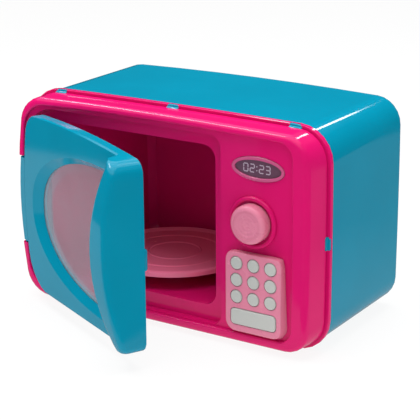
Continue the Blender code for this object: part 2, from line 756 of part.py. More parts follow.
def hinge_notch():
    """Gap in the left rim for the door's knuckle, with a socket for a pin at each end."""
    low = KNUCKLE_BOTTOM - KNUCKLE_CLEAR
    high = KNUCKLE_TOP + KNUCKLE_CLEAR
    builder = block((HINGE_X - NOTCH_WIDTH * 3, FRONT - OVERRUN * 2, low),
                    (HINGE_X + NOTCH_WIDTH, FRONT + NOTCH_FLOOR, high))
    sockets = rod(PIN_RADIUS + RUN_CLEAR, KNUCKLE_BOTTOM - PIN_LENGTH - CLEAR * 2, KNUCKLE_TOP + PIN_LENGTH
                  + CLEAR * 2, (HINGE_X, FRONT + HINGE_DEPTH, 0), "Z", HOLE_SIDES)
    tool = cutter("pin_sockets", sockets)
    notch = cutter("notch_block", builder)
    whole = bmesh.new()
    whole.from_mesh(joined_mesh(notch, tool))
    return whole


def joined_mesh(first, second):
    """The union of two guide solids as one plain mesh."""
    join(first, second)
    bpy.context.view_layer.update()
    return bpy.data.meshes.new_from_object(first.evaluated_get(bpy.context.evaluated_depsgraph_get()))


def make_rear_housing():
    """Teal shell: one skin from its inner back wall, round the rebated lip, to its outer back wall."""
    lip_start = BEAD_BACK - LIP_LENGTH
    seam = BEAD_BACK + CLEAR
    lip_inner = BEAD.inset(LIP_INSET + LIP_WALL).points()
    inner_start = seam + JOGGLE_LENGTH
    inner_back = DEPTH - WALL
    sections = [(skin(inner_back).inset(WALL + BACK_ROUND).points(), inner_back),
                (skin(inner_back).inset(WALL).points(), inner_back - BACK_ROUND),
                (skin(inner_start).inset(WALL).points(), inner_start),
                (lip_inner, seam + LIP_WALL),
                (lip_inner, lip_start),
                (BEAD.inset(LIP_INSET + LIP_TAPER).points(), lip_start),
                (BEAD.inset(LIP_INSET).points(), lip_start + OVERRUN),
                (BEAD.inset(LIP_INSET).points(), seam),
                (skin(seam).points(), seam)]
    for inset, depth in reversed(quarter_round(BACK_ROUND)):
        sections.append((skin(DEPTH - depth).inset(inset).points(), DEPTH - depth))
    body = finish("rear_housing", loft(sections), colour="teal")
    join(body, cutter("snap_tabs", tab_blocks(0, TAB_INSET, LIP_INSET + LIP_WALL / 2)))
    feet = bmesh.new()
    for x in (-FOOT_X, FOOT_X):
        place = (x, FRONT + DEPTH - FOOT_FROM_BACK, 0)
        rod(FOOT_RADIUS, 0, BACK_BOTTOM + WALL / 2, place, "Z", HOLE_SIDES, feet)
    join(body, cutter("rear_feet", feet))
    return body


def liner_outline(depth, grow):
    """The liner's inner outline at a depth, which narrows to the back over a level floor."""
    share = (depth - SEAT_BACK) / (LINER_BACK - SEAT_BACK)
    mouth = OPENING.inset(-LINER_STEP)
    drawn = replace(mouth, left=mouth.left + LINER_LEFT_DRAFT * share,
                    right=mouth.right - LINER_RIGHT_DRAFT * share, top=mouth.top - LINER_TOP_DRAFT * share)
    return drawn.inset(-grow)


def make_cavity_tub():
    """Pink oven liner: a drafted tub with a flange that is screwed behind the opening."""
    mouth = SEAT_BACK + CLEAR
    flange_back = mouth + LINER_WALL
    inner_back = LINER_BACK - LINER_WALL
    flange = OPENING.inset(-LINER_FLANGE).points()
    sections = [(liner_outline(inner_back, -LINER_BACK_ROUND).points(), inner_back),
                (liner_outline(inner_back, 0).points(), inner_back - LINER_BACK_ROUND),
                (liner_outline(mouth, 0).points(), mouth),
                (flange, mouth),
                (flange, flange_back),
                (liner_outline(flange_back, LINER_WALL).points(), flange_back),
                (liner_outline(LINER_BACK, LINER_WALL).points(), LINER_BACK - LINER_BACK_ROUND),
                (liner_outline(LINER_BACK, LINER_WALL - LINER_BACK_ROUND).points(), LINER_BACK)]
    body = finish("cavity_tub", loft(sections), colour="pink")
    holes = bmesh.new()
    for x, z in liner_screw_places():
        rod(LINER_BOSS_HOLE, FRONT + mouth - OVERRUN, FRONT + flange_back + OVERRUN, (x, 0, z), "Y",
            builder=holes)
    floor = OPENING_BOTTOM - LINER_STEP
    rod(HUB_STEM_RADIUS + CLEAR, floor - LINER_WALL - OVERRUN, floor + OVERRUN,
        (PLATE_X, FRONT + PLATE_DEPTH, 0), "Z", HOLE_SIDES, holes)
    cut(body, cutter("liner_holes", holes))
    for number, (x, z) in enumerate(liner_screw_places(), start=1):
        screw(f"tub_screw_{number}", (x, 0, z), FRONT + liner_boss_end() + CLEAR, SCREW_BITE)
    return body


def plate_ridges(top):
    """Points of the round ridges on the dish, from the middle outwards."""
    reach = PLATE_RADIUS - PLATE_RIM_WIDTH - PLATE_SLOPE_WIDTH
    for share in PLATE_RING_SHARES:
        middle = reach * share
        yield middle - PLATE_RING_WIDTH / 2, top
        yield middle, top + PLATE_RING_HEIGHT
        yield middle + PLATE_RING_WIDTH / 2, top


def make_turntable():
    """The plate, which turns on a spindle, and the hub that is clipped into the liner's floor."""
    dish = PLATE_TOP - PLATE_DISH
    under = dish - PLATE_THICK
    slope_end = PLATE_RADIUS - PLATE_RIM_WIDTH
    floor = OPENING_BOTTOM - LINER_STEP + CLEAR
    hub_top = floor + HUB_HEIGHT
    socket_inner = SPINDLE_RADIUS + RUN_CLEAR
    socket_outer = socket_inner + SOCKET_WALL
    socket_end = hub_top + CLEAR
    rim_low = PLATE_TOP - PLATE_RIM_HEIGHT
    profile = [(0, dish), *plate_ridges(dish), (slope_end - PLATE_SLOPE_WIDTH, dish),
               (slope_end, PLATE_TOP), (PLATE_RADIUS, PLATE_TOP - PLATE_RIM_WIDTH / 2),
               (PLATE_RADIUS, rim_low), (slope_end, rim_low), (slope_end - PLATE_SLOPE_WIDTH, under),
               (socket_outer, under), (socket_outer, socket_end), (socket_inner, socket_end),
               (socket_inner, under), (0, under)]
    centre = (PLATE_X, FRONT + PLATE_DEPTH, 0)
    origin = (PLATE_X, FRONT + PLATE_DEPTH, dish)
    finish("turntable_plate", turned(profile, centre, "Z", PLATE_SIDES), origin, colour="pale_pink")
    stem_end = floor - HUB_STEM_LENGTH
    hub = [(0, under - CLEAR), (SPINDLE_RADIUS, under - CLEAR), (SPINDLE_RADIUS, hub_top),
           (HUB_RADIUS, hub_top), (HUB_RADIUS, floor), (HUB_STEM_RADIUS, floor),
           (HUB_STEM_RADIUS, stem_end), (0, stem_end)]
    finish("turntable_hub", turned(hub, centre, "Z", HOLE_SIDES), colour="pink")


def make_display():
    """The oval ring, pushed in from behind against its flange, and the dark plate inside it."""
    def ring(inset):
        return oval(CONTROLS_X, DISPLAY_Z, DISPLAY_HALF_WIDTH, DISPLAY_HALF_HEIGHT, inset)

    front = PANEL_DEPTH - DISPLAY_STAND
    ledge = PANEL_DEPTH + DISPLAY_RECESS - DISPLAY_STAND
    flange = PANEL_BACK + CLEAR
    back = flange + DISPLAY_FLANGE_THICK
    wide = DISPLAY_RING - DISPLAY_LEDGE
    edge = DISPLAY_STAND / 2
    sections = [(ring(DISPLAY_RING), front + edge), (ring(DISPLAY_RING - edge), front), (ring(edge), front),
                (ring(0), front + edge), (ring(0), flange), (ring(-DISPLAY_FLANGE), flange),
                (ring(-DISPLAY_FLANGE), back), (ring(wide), back), (ring(wide), ledge),
                (ring(DISPLAY_RING), ledge)]
    finish("display_bezel", loft(sections, closed=True), colour="pale_pink")
    face = ring(wide + CLEAR)
    start = ledge + CLEAR
    finish("display_panel", loft([(face, start), (face, start + DISPLAY_THICK)]), colour="display_grey")


def make_knob():
    """The dished dial with a skirt and a stem through the panel, held by a washer and a screw."""
    base = PANEL_DEPTH - KNOB_GAP
    face = PANEL_DEPTH - KNOB_STAND
    round_end = KNOB_RADIUS - KNOB_ROUND
    arc = [(KNOB_RADIUS - inset, face + depth) for inset, depth in quarter_round(KNOB_ROUND)]
    stem_end = PANEL_BACK + STEM_PAST_PANEL
    hollow = face + KNOB_DISH + KNOB_WALL
    screw_end = stem_end + CLEAR - KNOB_SCREW_LENGTH - CLEAR
    profile = [(0, face + KNOB_DISH), (round_end / 2, face + KNOB_DISH * 3 / 4), *arc,
               (KNOB_RADIUS, base), (KNOB_RADIUS - KNOB_WALL, base),
               (KNOB_RADIUS - KNOB_WALL, hollow + KNOB_ROUND / 2), (round_end - KNOB_WALL, hollow),
               (STEM_RADIUS, hollow), (STEM_RADIUS, stem_end), (PILOT_RADIUS, stem_end),
               (PILOT_RADIUS, screw_end), (0, screw_end)]
    profile = [(radius, FRONT + depth) for radius, depth in profile]
    origin = (KNOB_X, FRONT + face, KNOB_Z)
    finish("knob", turned(profile, knob_centre(), "Y", KNOB_SIDES), origin, colour="pale_pink")
    front = FRONT + PANEL_BACK + CLEAR
    washer = [(STEM_RADIUS + CLEAR, front), (WASHER_RADIUS, front), (WASHER_RADIUS, front + WASHER_THICK),
              (STEM_RADIUS + CLEAR, front + WASHER_THICK)]
    finish("knob_washer", turned(washer, knob_centre(), "Y", HOLE_SIDES), colour="steel")
    screw("knob_screw", knob_centre(), FRONT + stem_end + CLEAR, KNOB_SCREW_LENGTH,
          head_radius=(STEM_RADIUS + WASHER_RADIUS) / 2)


def key_places():
    """Three rows of three round keys, numbered along each row from the top left."""
    for row in (1, 0, -1):
        for column in (-1, 0, 1):
            yield CONTROLS_X + column * KEY_PITCH_X, KEY_MIDDLE_Z + row * KEY_PITCH_Z


def pad_base():
    """The plate's outline on the panel, whose right side spreads towards the bottom."""
    points = PAD.inset(-PAD_DRAFT).points()
    downward = (PAD.top - points[:, 1]) / (PAD.top - PAD.bottom)
    points[:, 0] += PAD_SPLAY * downward * (points[:, 0] > CONTROLS_X)
    return points


def make_keypad():
    """The thick plate with a hole for every key, the springy mat behind it and its four screws."""
    inner = PAD.inset(PAD_WALL)
    sections = [(inner.points(), PAD_SKIN_BACK), (inner.points(), PAD_BACK), (pad_base(), PAD_BACK)]
    for inset, depth in reversed(quarter_round(PAD_ROUND)):
        sections.append((PAD.inset(inset).points(), PAD_FACE + depth))
    body = finish("keypad_plate", loft(sections), colour="pale_pink")
    bosses = bmesh.new()
    pilots = bmesh.new()
    end = PANEL_BACK
    for x, z in pad_screw_places():
        rod(PAD_BOSS_RADIUS, FRONT + PAD_SKIN_BACK - PAD_WALL / 2, FRONT + end, (x, 0, z), "Y",
            builder=bosses)
        rod(PILOT_RADIUS, FRONT + end - SCREW_BITE - CLEAR, FRONT + end + OVERRUN, (x, 0, z), "Y",
            builder=pilots)
    join(body, cutter("pad_bosses", bosses))
    holes = bmesh.new()
    start, stop = PAD_FACE - OVERRUN, PAD_SKIN_BACK + OVERRUN
    for x, z in key_places():
        rod(KEY_RADIUS + KEY_GAP, FRONT + start, FRONT + stop, (x, 0, z), "Y", KEY_SIDES, holes)
    opening = BAR.inset(-KEY_GAP).points()
    loft([(opening, start), (opening, stop)], builder=holes)
    cut(body, cutter("key_holes", holes))
    cut(body, cutter("pad_pilots", pilots))
    for number, (x, z) in enumerate(pad_screw_places(), start=1):
        screw(f"keypad_screw_{number}", (x, 0, z), FRONT + end + CLEAR, SCREW_BITE)
    make_mat(inner)


def make_mat(inner):
    """A soft sheet that backs the keys, with a low dome behind each one."""
    front = PAD_BACK - MAT_THICK
    sheet = inner.inset(CLEAR).points()
    body = finish("keypad_mat", loft([(sheet, front), (sheet, PAD_BACK)]), colour="rubber_grey")
    dome = KEY_BACK + KEY_TRAVEL + CLEAR
    domes = bmesh.new()
    for x, z in [*key_places(), (CONTROLS_X, BAR_Z)]:
        profile = [(0, FRONT + dome), (DOME_RADIUS / 2, FRONT + dome),
                   (DOME_RADIUS, FRONT + front), (DOME_RADIUS, FRONT + PAD_BACK - MAT_THICK / 2),
                   (0, FRONT + PAD_BACK - MAT_THICK / 2)]
        turned(profile, (x, 0, z), "Y", SMALL_SIDES, domes)
    join(body, cutter("mat_domes", domes))
    holes = bmesh.new()
    for x, z in pad_screw_places():
        rod(PAD_BOSS_RADIUS + CLEAR, FRONT + front - OVERRUN, FRONT + PAD_BACK + OVERRUN, (x, 0, z), "Y",
            builder=holes)
    cut(body, cutter("mat_holes", holes))


def make_keys():
    """Nine round keys and one bar, each with a flange behind the plate that stops it coming out."""
    face = PAD_FACE - KEY_STAND
    flange = PAD_SKIN_BACK + CLEAR
    back = KEY_BACK
    wide = KEY_RADIUS + KEY_FLANGE
    profile = [(0, face), (KEY_RADIUS - KEY_ROUND, face), (KEY_RADIUS, face + KEY_ROUND),
               (KEY_RADIUS, flange), (wide, flange), (wide, back), (0, back)]
    profile = [(radius, FRONT + depth) for radius, depth in profile]
    for number, (x, z) in enumerate(key_places(), start=1):
        origin = (x, FRONT + face, z)
        finish(f"key_{number}", turned(profile, (x, 0, z), "Y", KEY_SIDES), origin, colour="key_grey")
    sections = [(BAR.inset(KEY_ROUND).points(), face), (BAR.points(), face + KEY_ROUND),
                (BAR.points(), flange), (BAR.inset(-KEY_FLANGE).points(), flange),
                (BAR.inset(-KEY_FLANGE).points(), back)]
    finish("key_bar", loft(sections), (CONTROLS_X, FRONT + face, BAR_Z), colour="key_grey")


def corner_draw(height, radius):
    """How far a round corner draws an edge in, at a height above its end."""
    if height >= radius:
        return 0.0
    return radius - math.sqrt(max(radius ** 2 - (radius - height) ** 2, 0.0))


def door_edges(z, wall):
    """Where the hinge edge and the free edge stand at a height, drawn in by a wall."""
    frame = DOOR.inset(wall)
    above = frame.top - z
    below = z - frame.bottom
    left = frame.left + max(corner_draw(above, frame.radius + frame.upper_round),
                            corner_draw(below, frame.radius + frame.lower_round))
    across = (left * 2 - frame.left - frame.right) / (frame.right - frame.left)
    upward = (z * 2 - frame.bottom - frame.top) / (frame.top - frame.bottom)
    left += frame.left_bow * (1 - upward ** 2) * across
    return left, frame.right - corner_draw(min(above, below), frame.radius)


def door_lift(across, z):
    """How far the bow of the door's top raises a place on the door."""
    share = (across * 2 - DOOR_LEFT - DOOR_RIGHT) / (DOOR_RIGHT - DOOR_LEFT)
    return DOOR_TOP_CROWN * (1 - share ** 2) * max((z - DOOR_MIDDLE_Z) / DOOR_HALF_HEIGHT, 0)


def door_section(z, wall, rear):
    """The door's section at one height, as points (across, back) of the closed door, anticlockwise.

    It runs along the rear, up the free end to the crest of the handle, down to the flat front, and
    back to the hinge edge. The wall draws every side in except the rear.
    """
    to_end = min(z - DOOR_BOTTOM, DOOR_TOP - z) - wall
    left, free = door_edges(z, wall)
    front = DOOR_FRONT - wall - corner_draw(to_end, DOOR_EDGE_ROUND)
    rise = (z - HANDLE_CREST_Z) / HANDLE_SPAN
    crest = HANDLE_PEAK - (HANDLE_PEAK - HANDLE_END) * rise ** 2 - wall
    crest -= corner_draw(to_end, HANDLE_END_ROUND)
    flare = (z - HANDLE_WAIST_Z) / HANDLE_SPAN
    waist = HANDLE_WAIST + HANDLE_FLARE * flare ** 2 + wall
    waist = min(waist, free - HANDLE_ROUND - HANDLE_FREE_ROUND)
    edge = max(HANDLE_ROUND - wall, LEAST_RADIUS)
    free_edge = max(HANDLE_FREE_ROUND - wall, LEAST_RADIUS)
    small = max(DOOR_EDGE_ROUND - wall, LEAST_RADIUS)
    turn = np.linspace(0, math.pi / 2, ROUND_STEPS + 1)
    flat = np.linspace(left + small, waist - HANDLE_FOOT, DOOR_STEPS + 1)
    points = [(left, rear), *((x, rear) for x in flat), (free, rear)]
    points += [(free - free_edge * (1 - math.cos(a)), -(crest - free_edge + free_edge * math.sin(a)))
               for a in turn]
    points += [(waist + edge * (1 - math.sin(a)), -(crest - edge + edge * math.cos(a))) for a in turn]
    points += [(waist - HANDLE_FOOT / 3, -(front + HANDLE_FOOT)), *((x, -front) for x in flat[::-1])]
    points += [(left + small * (1 - math.sin(a)), -(front - small + small * math.cos(a)))
               for a in turn[2::2]]
    return points


def door_cap(builder, ring):
    """Closes an end of the door with a row of faces from its rear to its front, which follow the bow."""
    front = len(ring) - DOOR_STEPS - 1 - ROUND_STEPS // 2
    end = front + DOOR_STEPS
    for step in range(DOOR_STEPS):
        builder.faces.new((ring[step + 1], ring[step + 2], ring[end - step - 1], ring[end - step]))
    builder.faces.new(ring[DOOR_STEPS + 1:front + 1])
    builder.faces.new([*ring[end:], ring[0], ring[1]])


def door_solid(wall, rear):
    """The door's body lofted up its height, or with a wall the hollow inside it."""
    bottom = DOOR_BOTTOM + wall
    top = DOOR_TOP - wall
    shares = (1 - np.cos(np.linspace(0, math.pi, HANDLE_STATIONS))) / 2
    builder = bmesh.new()
    rings = []
    for z in bottom + (top - bottom) * shares:
        rings.append([(x, y, z + door_lift(x, z)) for x, y in door_section(z, wall, rear)])
    add_rings(builder, rings, cap=door_cap)
    return builder


def window_loft(start, end, grow, builder=None):
    """A solid that follows the sloping wall of the window recess, grown by a wall."""
    sections = []
    for back in (start, end):
        share = (back + DOOR_FRONT) / PANE_DEPTH
        outline = window_outline(WINDOW_SLOPE_REACH * share - grow, WINDOW_SLOPE_HEIGHT * share - grow)
        sections.append((outline, back))
    return loft(sections, ring=door_ring, builder=builder)


def cover_post_places():
    for across in (COVER_POST_LEFT, DOOR_RIGHT - COVER_POST_FROM_FREE):
        yield across, DOOR_TOP - COVER_POST_EDGE
        yield across, DOOR_BOTTOM + COVER_POST_EDGE


def door_additions():
    """Posts for the cover's screws, each standing on the inside of the front skin."""
    builder = bmesh.new()
    for x, z in cover_post_places():
        rod(COVER_POST_RADIUS, -DOOR_FRONT + DOOR_WALL / 2, COVER_FRONT - CLEAR, (x, 0, z), "Y",
            builder=builder)
    return builder


def knuckle_builder():
    """The hinge knuckle: flush with the door's front, bowed like the frame's side and round behind."""
    front = DOOR_FRONT - CLEAR / 3
    middle = (KNUCKLE_BOTTOM + KNUCKLE_TOP) / 2
    turn = np.linspace(0, math.pi / 2, ROUND_STEPS + 1)
    rings = []
    for share in np.linspace(-1, 1, KNUCKLE_STATIONS):
        z = middle + (KNUCKLE_TOP - middle) * share
        reach = KNUCKLE_REACH - KNUCKLE_TAPER * share ** 2
        arm = door_edges(z, 0)[0] + DOOR_WALL / 2
        outline = [(arm, -front)]
        outline += [(-reach + KNUCKLE_ROUND * (1 - math.sin(a)), -front + KNUCKLE_ROUND * (1 - math.cos(a)))
                    for a in turn]
        outline += [(-reach * math.cos(a), KNUCKLE_BACK * math.sin(a)) for a in turn]
        outline += [(arm, KNUCKLE_BACK)]
        rings.append([(x, y, z) for x, y in outline])
    builder = bmesh.new()
    add_rings(builder, rings)
    return builder


def make_door():
    """The teal door with its grip and knuckle, the pane and the cover that holds it from behind."""
    hinge = bpy.data.objects.new("door_hinge", None)
    bpy.context.scene.collection.objects.link(hinge)
    hinge.location = (HINGE_X, FRONT + HINGE_DEPTH, 0)
    hinge.rotation_euler = (0, 0, -math.radians(DOOR_OPEN_DEGREES))
    body = finish("door_panel", door_solid(0, DOOR_REAR), parent=hinge, colour="teal")
    cut(body, cutter("door_hollow", door_solid(DOOR_WALL, DOOR_REAR + OVERRUN), hinge))
    sill = window_loft(-DOOR_FRONT + DOOR_WALL / 2, PANE_DEPTH - DOOR_FRONT, WINDOW_SILL)
    join(body, cutter("window_sill", sill, hinge))
    join(body, cutter("cover_posts", door_additions(), hinge))
    join(body, cutter("knuckle", knuckle_builder(), hinge))
    pins = rod(PIN_RADIUS, KNUCKLE_BOTTOM - PIN_LENGTH, KNUCKLE_TOP + PIN_LENGTH, (0, 0, 0), "Z")
    join(body, cutter("hinge_pins", pins, hinge))
    recess = window_loft(-DOOR_FRONT - OVERRUN, PANE_DEPTH - DOOR_FRONT + OVERRUN, 0)
    cut(body, cutter("window_recess", recess, hinge))
    pilots = bmesh.new()
    for x, z in cover_post_places():
        rod(PILOT_RADIUS, COVER_FRONT - CLEAR - SCREW_BITE, COVER_FRONT + OVERRUN, (x, 0, z), "Y",
            builder=pilots)
    cut(body, cutter("post_pilots", pilots, hinge))
    pane = window_outline(WINDOW_SLOPE_REACH - PANE_EDGE, WINDOW_SLOPE_HEIGHT - PANE_EDGE)
    builder = loft([(pane, PANE_FRONT), (pane, PANE_FRONT + PANE_THICK)], ring=door_ring)
    finish("window_pane", builder, parent=hinge, colour="pane_pink")
    make_door_cover(hinge)


def make_door_cover(hinge):
    """Flat cover inside the door's rear edge, with the window, the catch and four sunk screws."""
    outline = replace(DOOR.inset(DOOR_WALL + CLEAR), radius=DOOR_CORNER)
    back = COVER_FRONT + COVER_THICK
    builder = loft([(outline.points(), COVER_FRONT), (outline.points(), back)], ring=door_ring)
    body = finish("door_cover", builder, parent=hinge, colour="teal")
    hole = window_outline(WINDOW_SLOPE_REACH, WINDOW_SLOPE_HEIGHT)
    holes = loft([(hole, COVER_FRONT - OVERRUN), (hole, back + OVERRUN)], ring=door_ring)
    for x, z in cover_post_places():
        clear_hole = PILOT_RADIUS + CLEAR / 3
        sink = back - COVER_HEAD_THICK - CLEAR
        profile = [(0, COVER_FRONT - OVERRUN), (clear_hole, COVER_FRONT - OVERRUN), (clear_hole, sink),
                   (COVER_HEAD_RADIUS + CLEAR, sink), (COVER_HEAD_RADIUS + CLEAR, back + OVERRUN),
                   (0, back + OVERRUN)]
        turned(profile, (x, 0, z), "Y", SMALL_SIDES, holes)
    cut(body, cutter("cover_holes", holes, hinge))
    right = OPENING_RIGHT - CATCH_CLEAR - HINGE_X
    catch = block((right - CATCH_WIDTH, back - COVER_THICK / 2, CATCH_BOTTOM),
                  (right, DOOR_REAR + CATCH_STAND, CATCH_TOP))
    join(body, cutter("catch_block", catch, hinge))
    for number, (x, z) in enumerate(cover_post_places(), start=1):
        screw(f"door_screw_{number}", (x, 0, z), back - COVER_HEAD_THICK, SCREW_BITE, hinge,
              COVER_HEAD_RADIUS, COVER_HEAD_THICK)


def main():
    clear_scene()
    make_front_frame()
    make_rear_housing()
    make_cavity_tub()
    make_turntable()
    make_display()
    make_knob()
    make_keypad()
    make_keys()
    make_door()


main()
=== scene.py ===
"""Looks of the toy microwave oven: its plastics, printed digits, screws, camera and studio light.

Lengths are metres in the model's own frame: +Z up, the front faces -Y and its controls are at +X.
"""
import json
import math

import bmesh
import bpy
import numpy as np
from mathutils import Matrix, Vector
from mathutils.bvhtree import BVHTree


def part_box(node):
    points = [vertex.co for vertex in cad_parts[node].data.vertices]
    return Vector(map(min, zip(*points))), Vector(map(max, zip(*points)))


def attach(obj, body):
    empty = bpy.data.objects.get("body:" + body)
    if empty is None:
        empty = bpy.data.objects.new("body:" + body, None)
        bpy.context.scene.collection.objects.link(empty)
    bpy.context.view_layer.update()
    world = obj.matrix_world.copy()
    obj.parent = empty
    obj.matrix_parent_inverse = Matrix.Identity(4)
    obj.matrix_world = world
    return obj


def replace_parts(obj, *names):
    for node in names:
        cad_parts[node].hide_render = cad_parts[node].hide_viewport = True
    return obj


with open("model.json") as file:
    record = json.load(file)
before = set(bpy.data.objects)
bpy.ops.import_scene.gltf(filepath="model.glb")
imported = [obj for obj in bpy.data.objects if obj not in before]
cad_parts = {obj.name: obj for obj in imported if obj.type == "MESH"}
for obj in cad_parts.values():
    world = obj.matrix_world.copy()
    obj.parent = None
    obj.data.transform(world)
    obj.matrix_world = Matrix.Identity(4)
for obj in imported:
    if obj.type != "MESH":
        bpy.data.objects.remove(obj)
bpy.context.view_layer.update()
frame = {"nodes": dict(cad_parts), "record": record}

# Camera, worked out from the photograph's outlines. The sensor is in millimetres.
PICTURE_SIDE = 420
FOCAL_PIXELS = 1500
SENSOR = 36.0
NEAREST = 0.05
FARTHEST = 50
TARGET = Vector((0.052827, -0.02775, 0.114927))
AZIMUTH = math.radians(33.325)
ELEVATION = math.radians(17.377)
ROLL = math.radians(-0.395)
DISTANCE = 1.223126

# Linear colours of the plastics
TEAL = (0.0, 0.225, 0.345)
PINK = (0.620, 0.0055, 0.128)
PALE_PINK = (0.67, 0.20, 0.305)
# The turntable plate's pale pink, made pinker and lighter: painted light that stands in for the pink light
# bouncing about the oven's cavity
PLATE_PINK_WITH_PAINTED_BOUNCE = (0.86, 0.19, 0.33)
RING_PINK = (0.50, 0.080, 0.205)
KEY_GREY = (0.46, 0.47, 0.445)
DISPLAY_GREY = (0.125, 0.060, 0.095)
DIGIT_GREY = (0.42, 0.33, 0.41)
PANE_TINT = (0.45, 0.29, 0.375)
# Colour of the painted reflection along the pane's curved edge
PANE_REFLECTION_TINT = (0.36, 0.50, 0.60)
RUBBER = (0.30, 0.30, 0.31)
STEEL = (0.60, 0.60, 0.58)

# Grain of the plastics: each noise is (scale, detail, roughness), with the range of it that shows
CLOUD_NOISE = (14.0, 3.0, 0.5)
CLOUD_RANGE = (0.35, 0.65)
HANDLED_NOISE = (60.0, 4.0, 0.65)
HANDLED_RANGE = (0.42, 0.74)
PEEL_NOISE = (420.0, 2.0, 0.5)
PEEL_STRENGTH = 0.012
PEEL_DEPTH = 0.0004

# Window's pane: how much it hides, its film, its smoothness, and a painted reflection: a pale band along
# its curved edge, which fades towards the top. The curve ends where the pane's straight right part begins.
PANE_HIDES = 0.40
FILM_NOISE = (25.0, 3.0, 0.5)
FILM_RANGE = (0.3, 0.7)
FILM_CHANGE = 0.03
PANE_CLOUD_NOISE = (9.0, 2.0, 0.5)
PANE_CLOUD = 0.05
PANE_MARK_NOISE = (80.0, 3.0, 0.5)
PANE_MARK_RANGE = (0.4, 0.7)
PANE_GLOSS = (0.05, 0.09)
PANE_BEND = 1.9
PANE_SKIN_GLOSS = 0.04
PANE_STRAIGHT = 0.0125
PANE_POWER = 2.2
PANE_REFLECTION_BAND = (0.66, 0.74)
PANE_REFLECTION_FADES = 0.055
PANE_REFLECTION_SHARE = 0.9

# Grain of the steel and of the mat
TARNISH_NOISE = (300.0, 4.0, 0.7)
TARNISH_RANGE = (0.4, 0.8)
TARNISH_DARKENS = 0.72
STEEL_GLOSS = 0.22
TARNISH_GLOSS = 0.2
TURNING_NOISE = (1500.0, 2.0, 0.5)
TURNING_STRENGTH = 0.08
RUBBER_NOISE = (900.0, 3.0, 0.7)
RUBBER_SHADES = (0.85, 1.1)
RUBBER_GLOSS = 0.65
RUBBER_GRAIN_GLOSS = 0.2
RUBBER_STRENGTH = 0.2
FINE_DEPTH = 0.0002

# Floor: its reach and grey, its share of plain white to the camera, and to the toy the share and the
# strength of light sent back up from white surroundings
FLOOR_REACH = 12.0
FLOOR_GREY = 0.86
FLOOR_GLOW = 0.90
BOUNCE_SHARE = 0.45
FLOOR_BOUNCE = 1.7
AMBIENT = 0.66

# What the toy's gloss shows: a lit table, measured across and towards the camera, and a dark round
# room that is lit above the band's heights, most on the left
TABLE_LEFT = -0.555
TABLE_RIGHT = 0.78
TABLE_FRONT = 0.15
TABLE_EDGE = 0.012
TABLE_LIGHT = 0.36
TABLE_FAR_LIGHT = 0.17
TABLE_LIGHT_FALLS = (0.22, 0.42)
ROOM_LIGHT = 0.02
WALL_LIGHT = 0.80
WALL_FAR_LIGHT = 0.12
WALL_LIGHT_FALLS = (0.15, 0.65)
WALL_BAND = (1.02, 1.15)
WALL_RADIUS = 1.5
WALL_HEIGHT = 2.6
WALL_SIDES = 48

# Lamps: places, aims, sizes and watts. The boxes light the toy, but its gloss doesn't show them.
BOX_SIZE = (0.80, 0.60)
BOX_AIM = (0.0, 0.0, 0.1)
BOXES = (("rear_overhead_box", (0.10, 0.30, 1.25), 9.5), ("front_overhead_box", (-0.08, -0.30, 1.25), 8.5))
TUBES = (("long_tube", (-1.08, 0.36, 1.25), (-0.40, -0.365, 1.25), (0.0, 0.0, 0.15), 0.15, 5.0),
         ("side_strip", (0.20, 0.26, 1.25), (0.20, 1.20, 1.25), (0.05, 0.1, 0.15), 0.035, 0.5))
RIM_STRIP_PLACE = (-0.02, 1.15, 1.05)
RIM_STRIP_AIM = (0.0, 0.0, 0.15)
RIM_STRIP_SIZE = (0.09, 0.40)
RIM_STRIP_WATTS = 1.4

# Dial, whose face lies a little behind the solid's rim: radii, depths, rounding, walls and ripples
KNOB_RADIUS = 0.0164
KNOB_FACE_RADIUS = 0.0122
KNOB_FRONT_BACK = 0.0022
KNOB_SKIRT = 0.0130
KNOB_ROUND = 0.0042
KNOB_WALL = 0.0024
KNOB_STEM = 0.0040
KNOB_STEP = 0.00025
KNOB_DISH = 0.0005
KNOB_RIPPLE = 0.00022
KNOB_RIPPLE_PITCH = 0.0033
KNOB_WEB = 1.4
KNOB_FACE_RINGS = 40
KNOB_EDGE_RINGS = 9
KNOB_SIDES = 72

# Keypad's outer wall: where its face ends and where it stands on the panel, the outer edges of the
# key holes, and how far the wall is drawn in and leans in
PAD_FACE_END = -0.02955
PAD_FOOT = -0.02405
PAD_HOLES_RIGHT = 0.1200
PAD_HOLES_TOP = 0.0829
PAD_RIGHT = 0.1232
PAD_DRAWN_RIGHT = 0.0010
PAD_DRAWN_TOP = 0.0019
PAD_LEAN_RIGHT = 0.0014
PAD_LEAN_TOP = 0.0008

# Digits on the display: sizes, pitch, the gap between bars, how far they stand out, the colon's room
DISPLAY_MIDDLE = (0.0945, 0.1549)
DIGIT_WIDTH = 0.0040
DIGIT_HEIGHT = 0.0064
DIGIT_STROKE = 0.0009
DIGIT_PITCH = 0.0060
DIGIT_GAP = 0.0001
DIGIT_STAND = 0.0001
COLON_ROOM = 0.0026
BAR_CORNERS = 6

# How far the door stands open at rest
DOOR_TURN = math.radians(25.4)

# Screws: kind, how many (0 for a single one), turn of the axis, body, head thickness, shank radius
SCREW_KINDS = (("tub_screw", 4, 0.0, "case", 0.0016, 0.0010),
               ("keypad_screw", 4, 0.0, "case", 0.0016, 0.0010),
               ("door_screw", 4, DOOR_TURN, "door", 0.0009, 0.0010),
               ("knob_screw", 0, 0.0, "dial", 0.0016, 0.0012))
# Their rings and sides, and shares of the head's radius or thickness or of the shank's radius
SCREW_RINGS = 22
SCREW_SIDES = 64
SCREW_CENTRE = 0.02
SCREW_DOME = 0.45
SCREW_POINT = 0.3
RECESS_HALF = 0.16
RECESS_WALL = 0.07
RECESS_REACH = 0.60
RECESS_END = 0.10
RECESS_DEPTH = 0.55

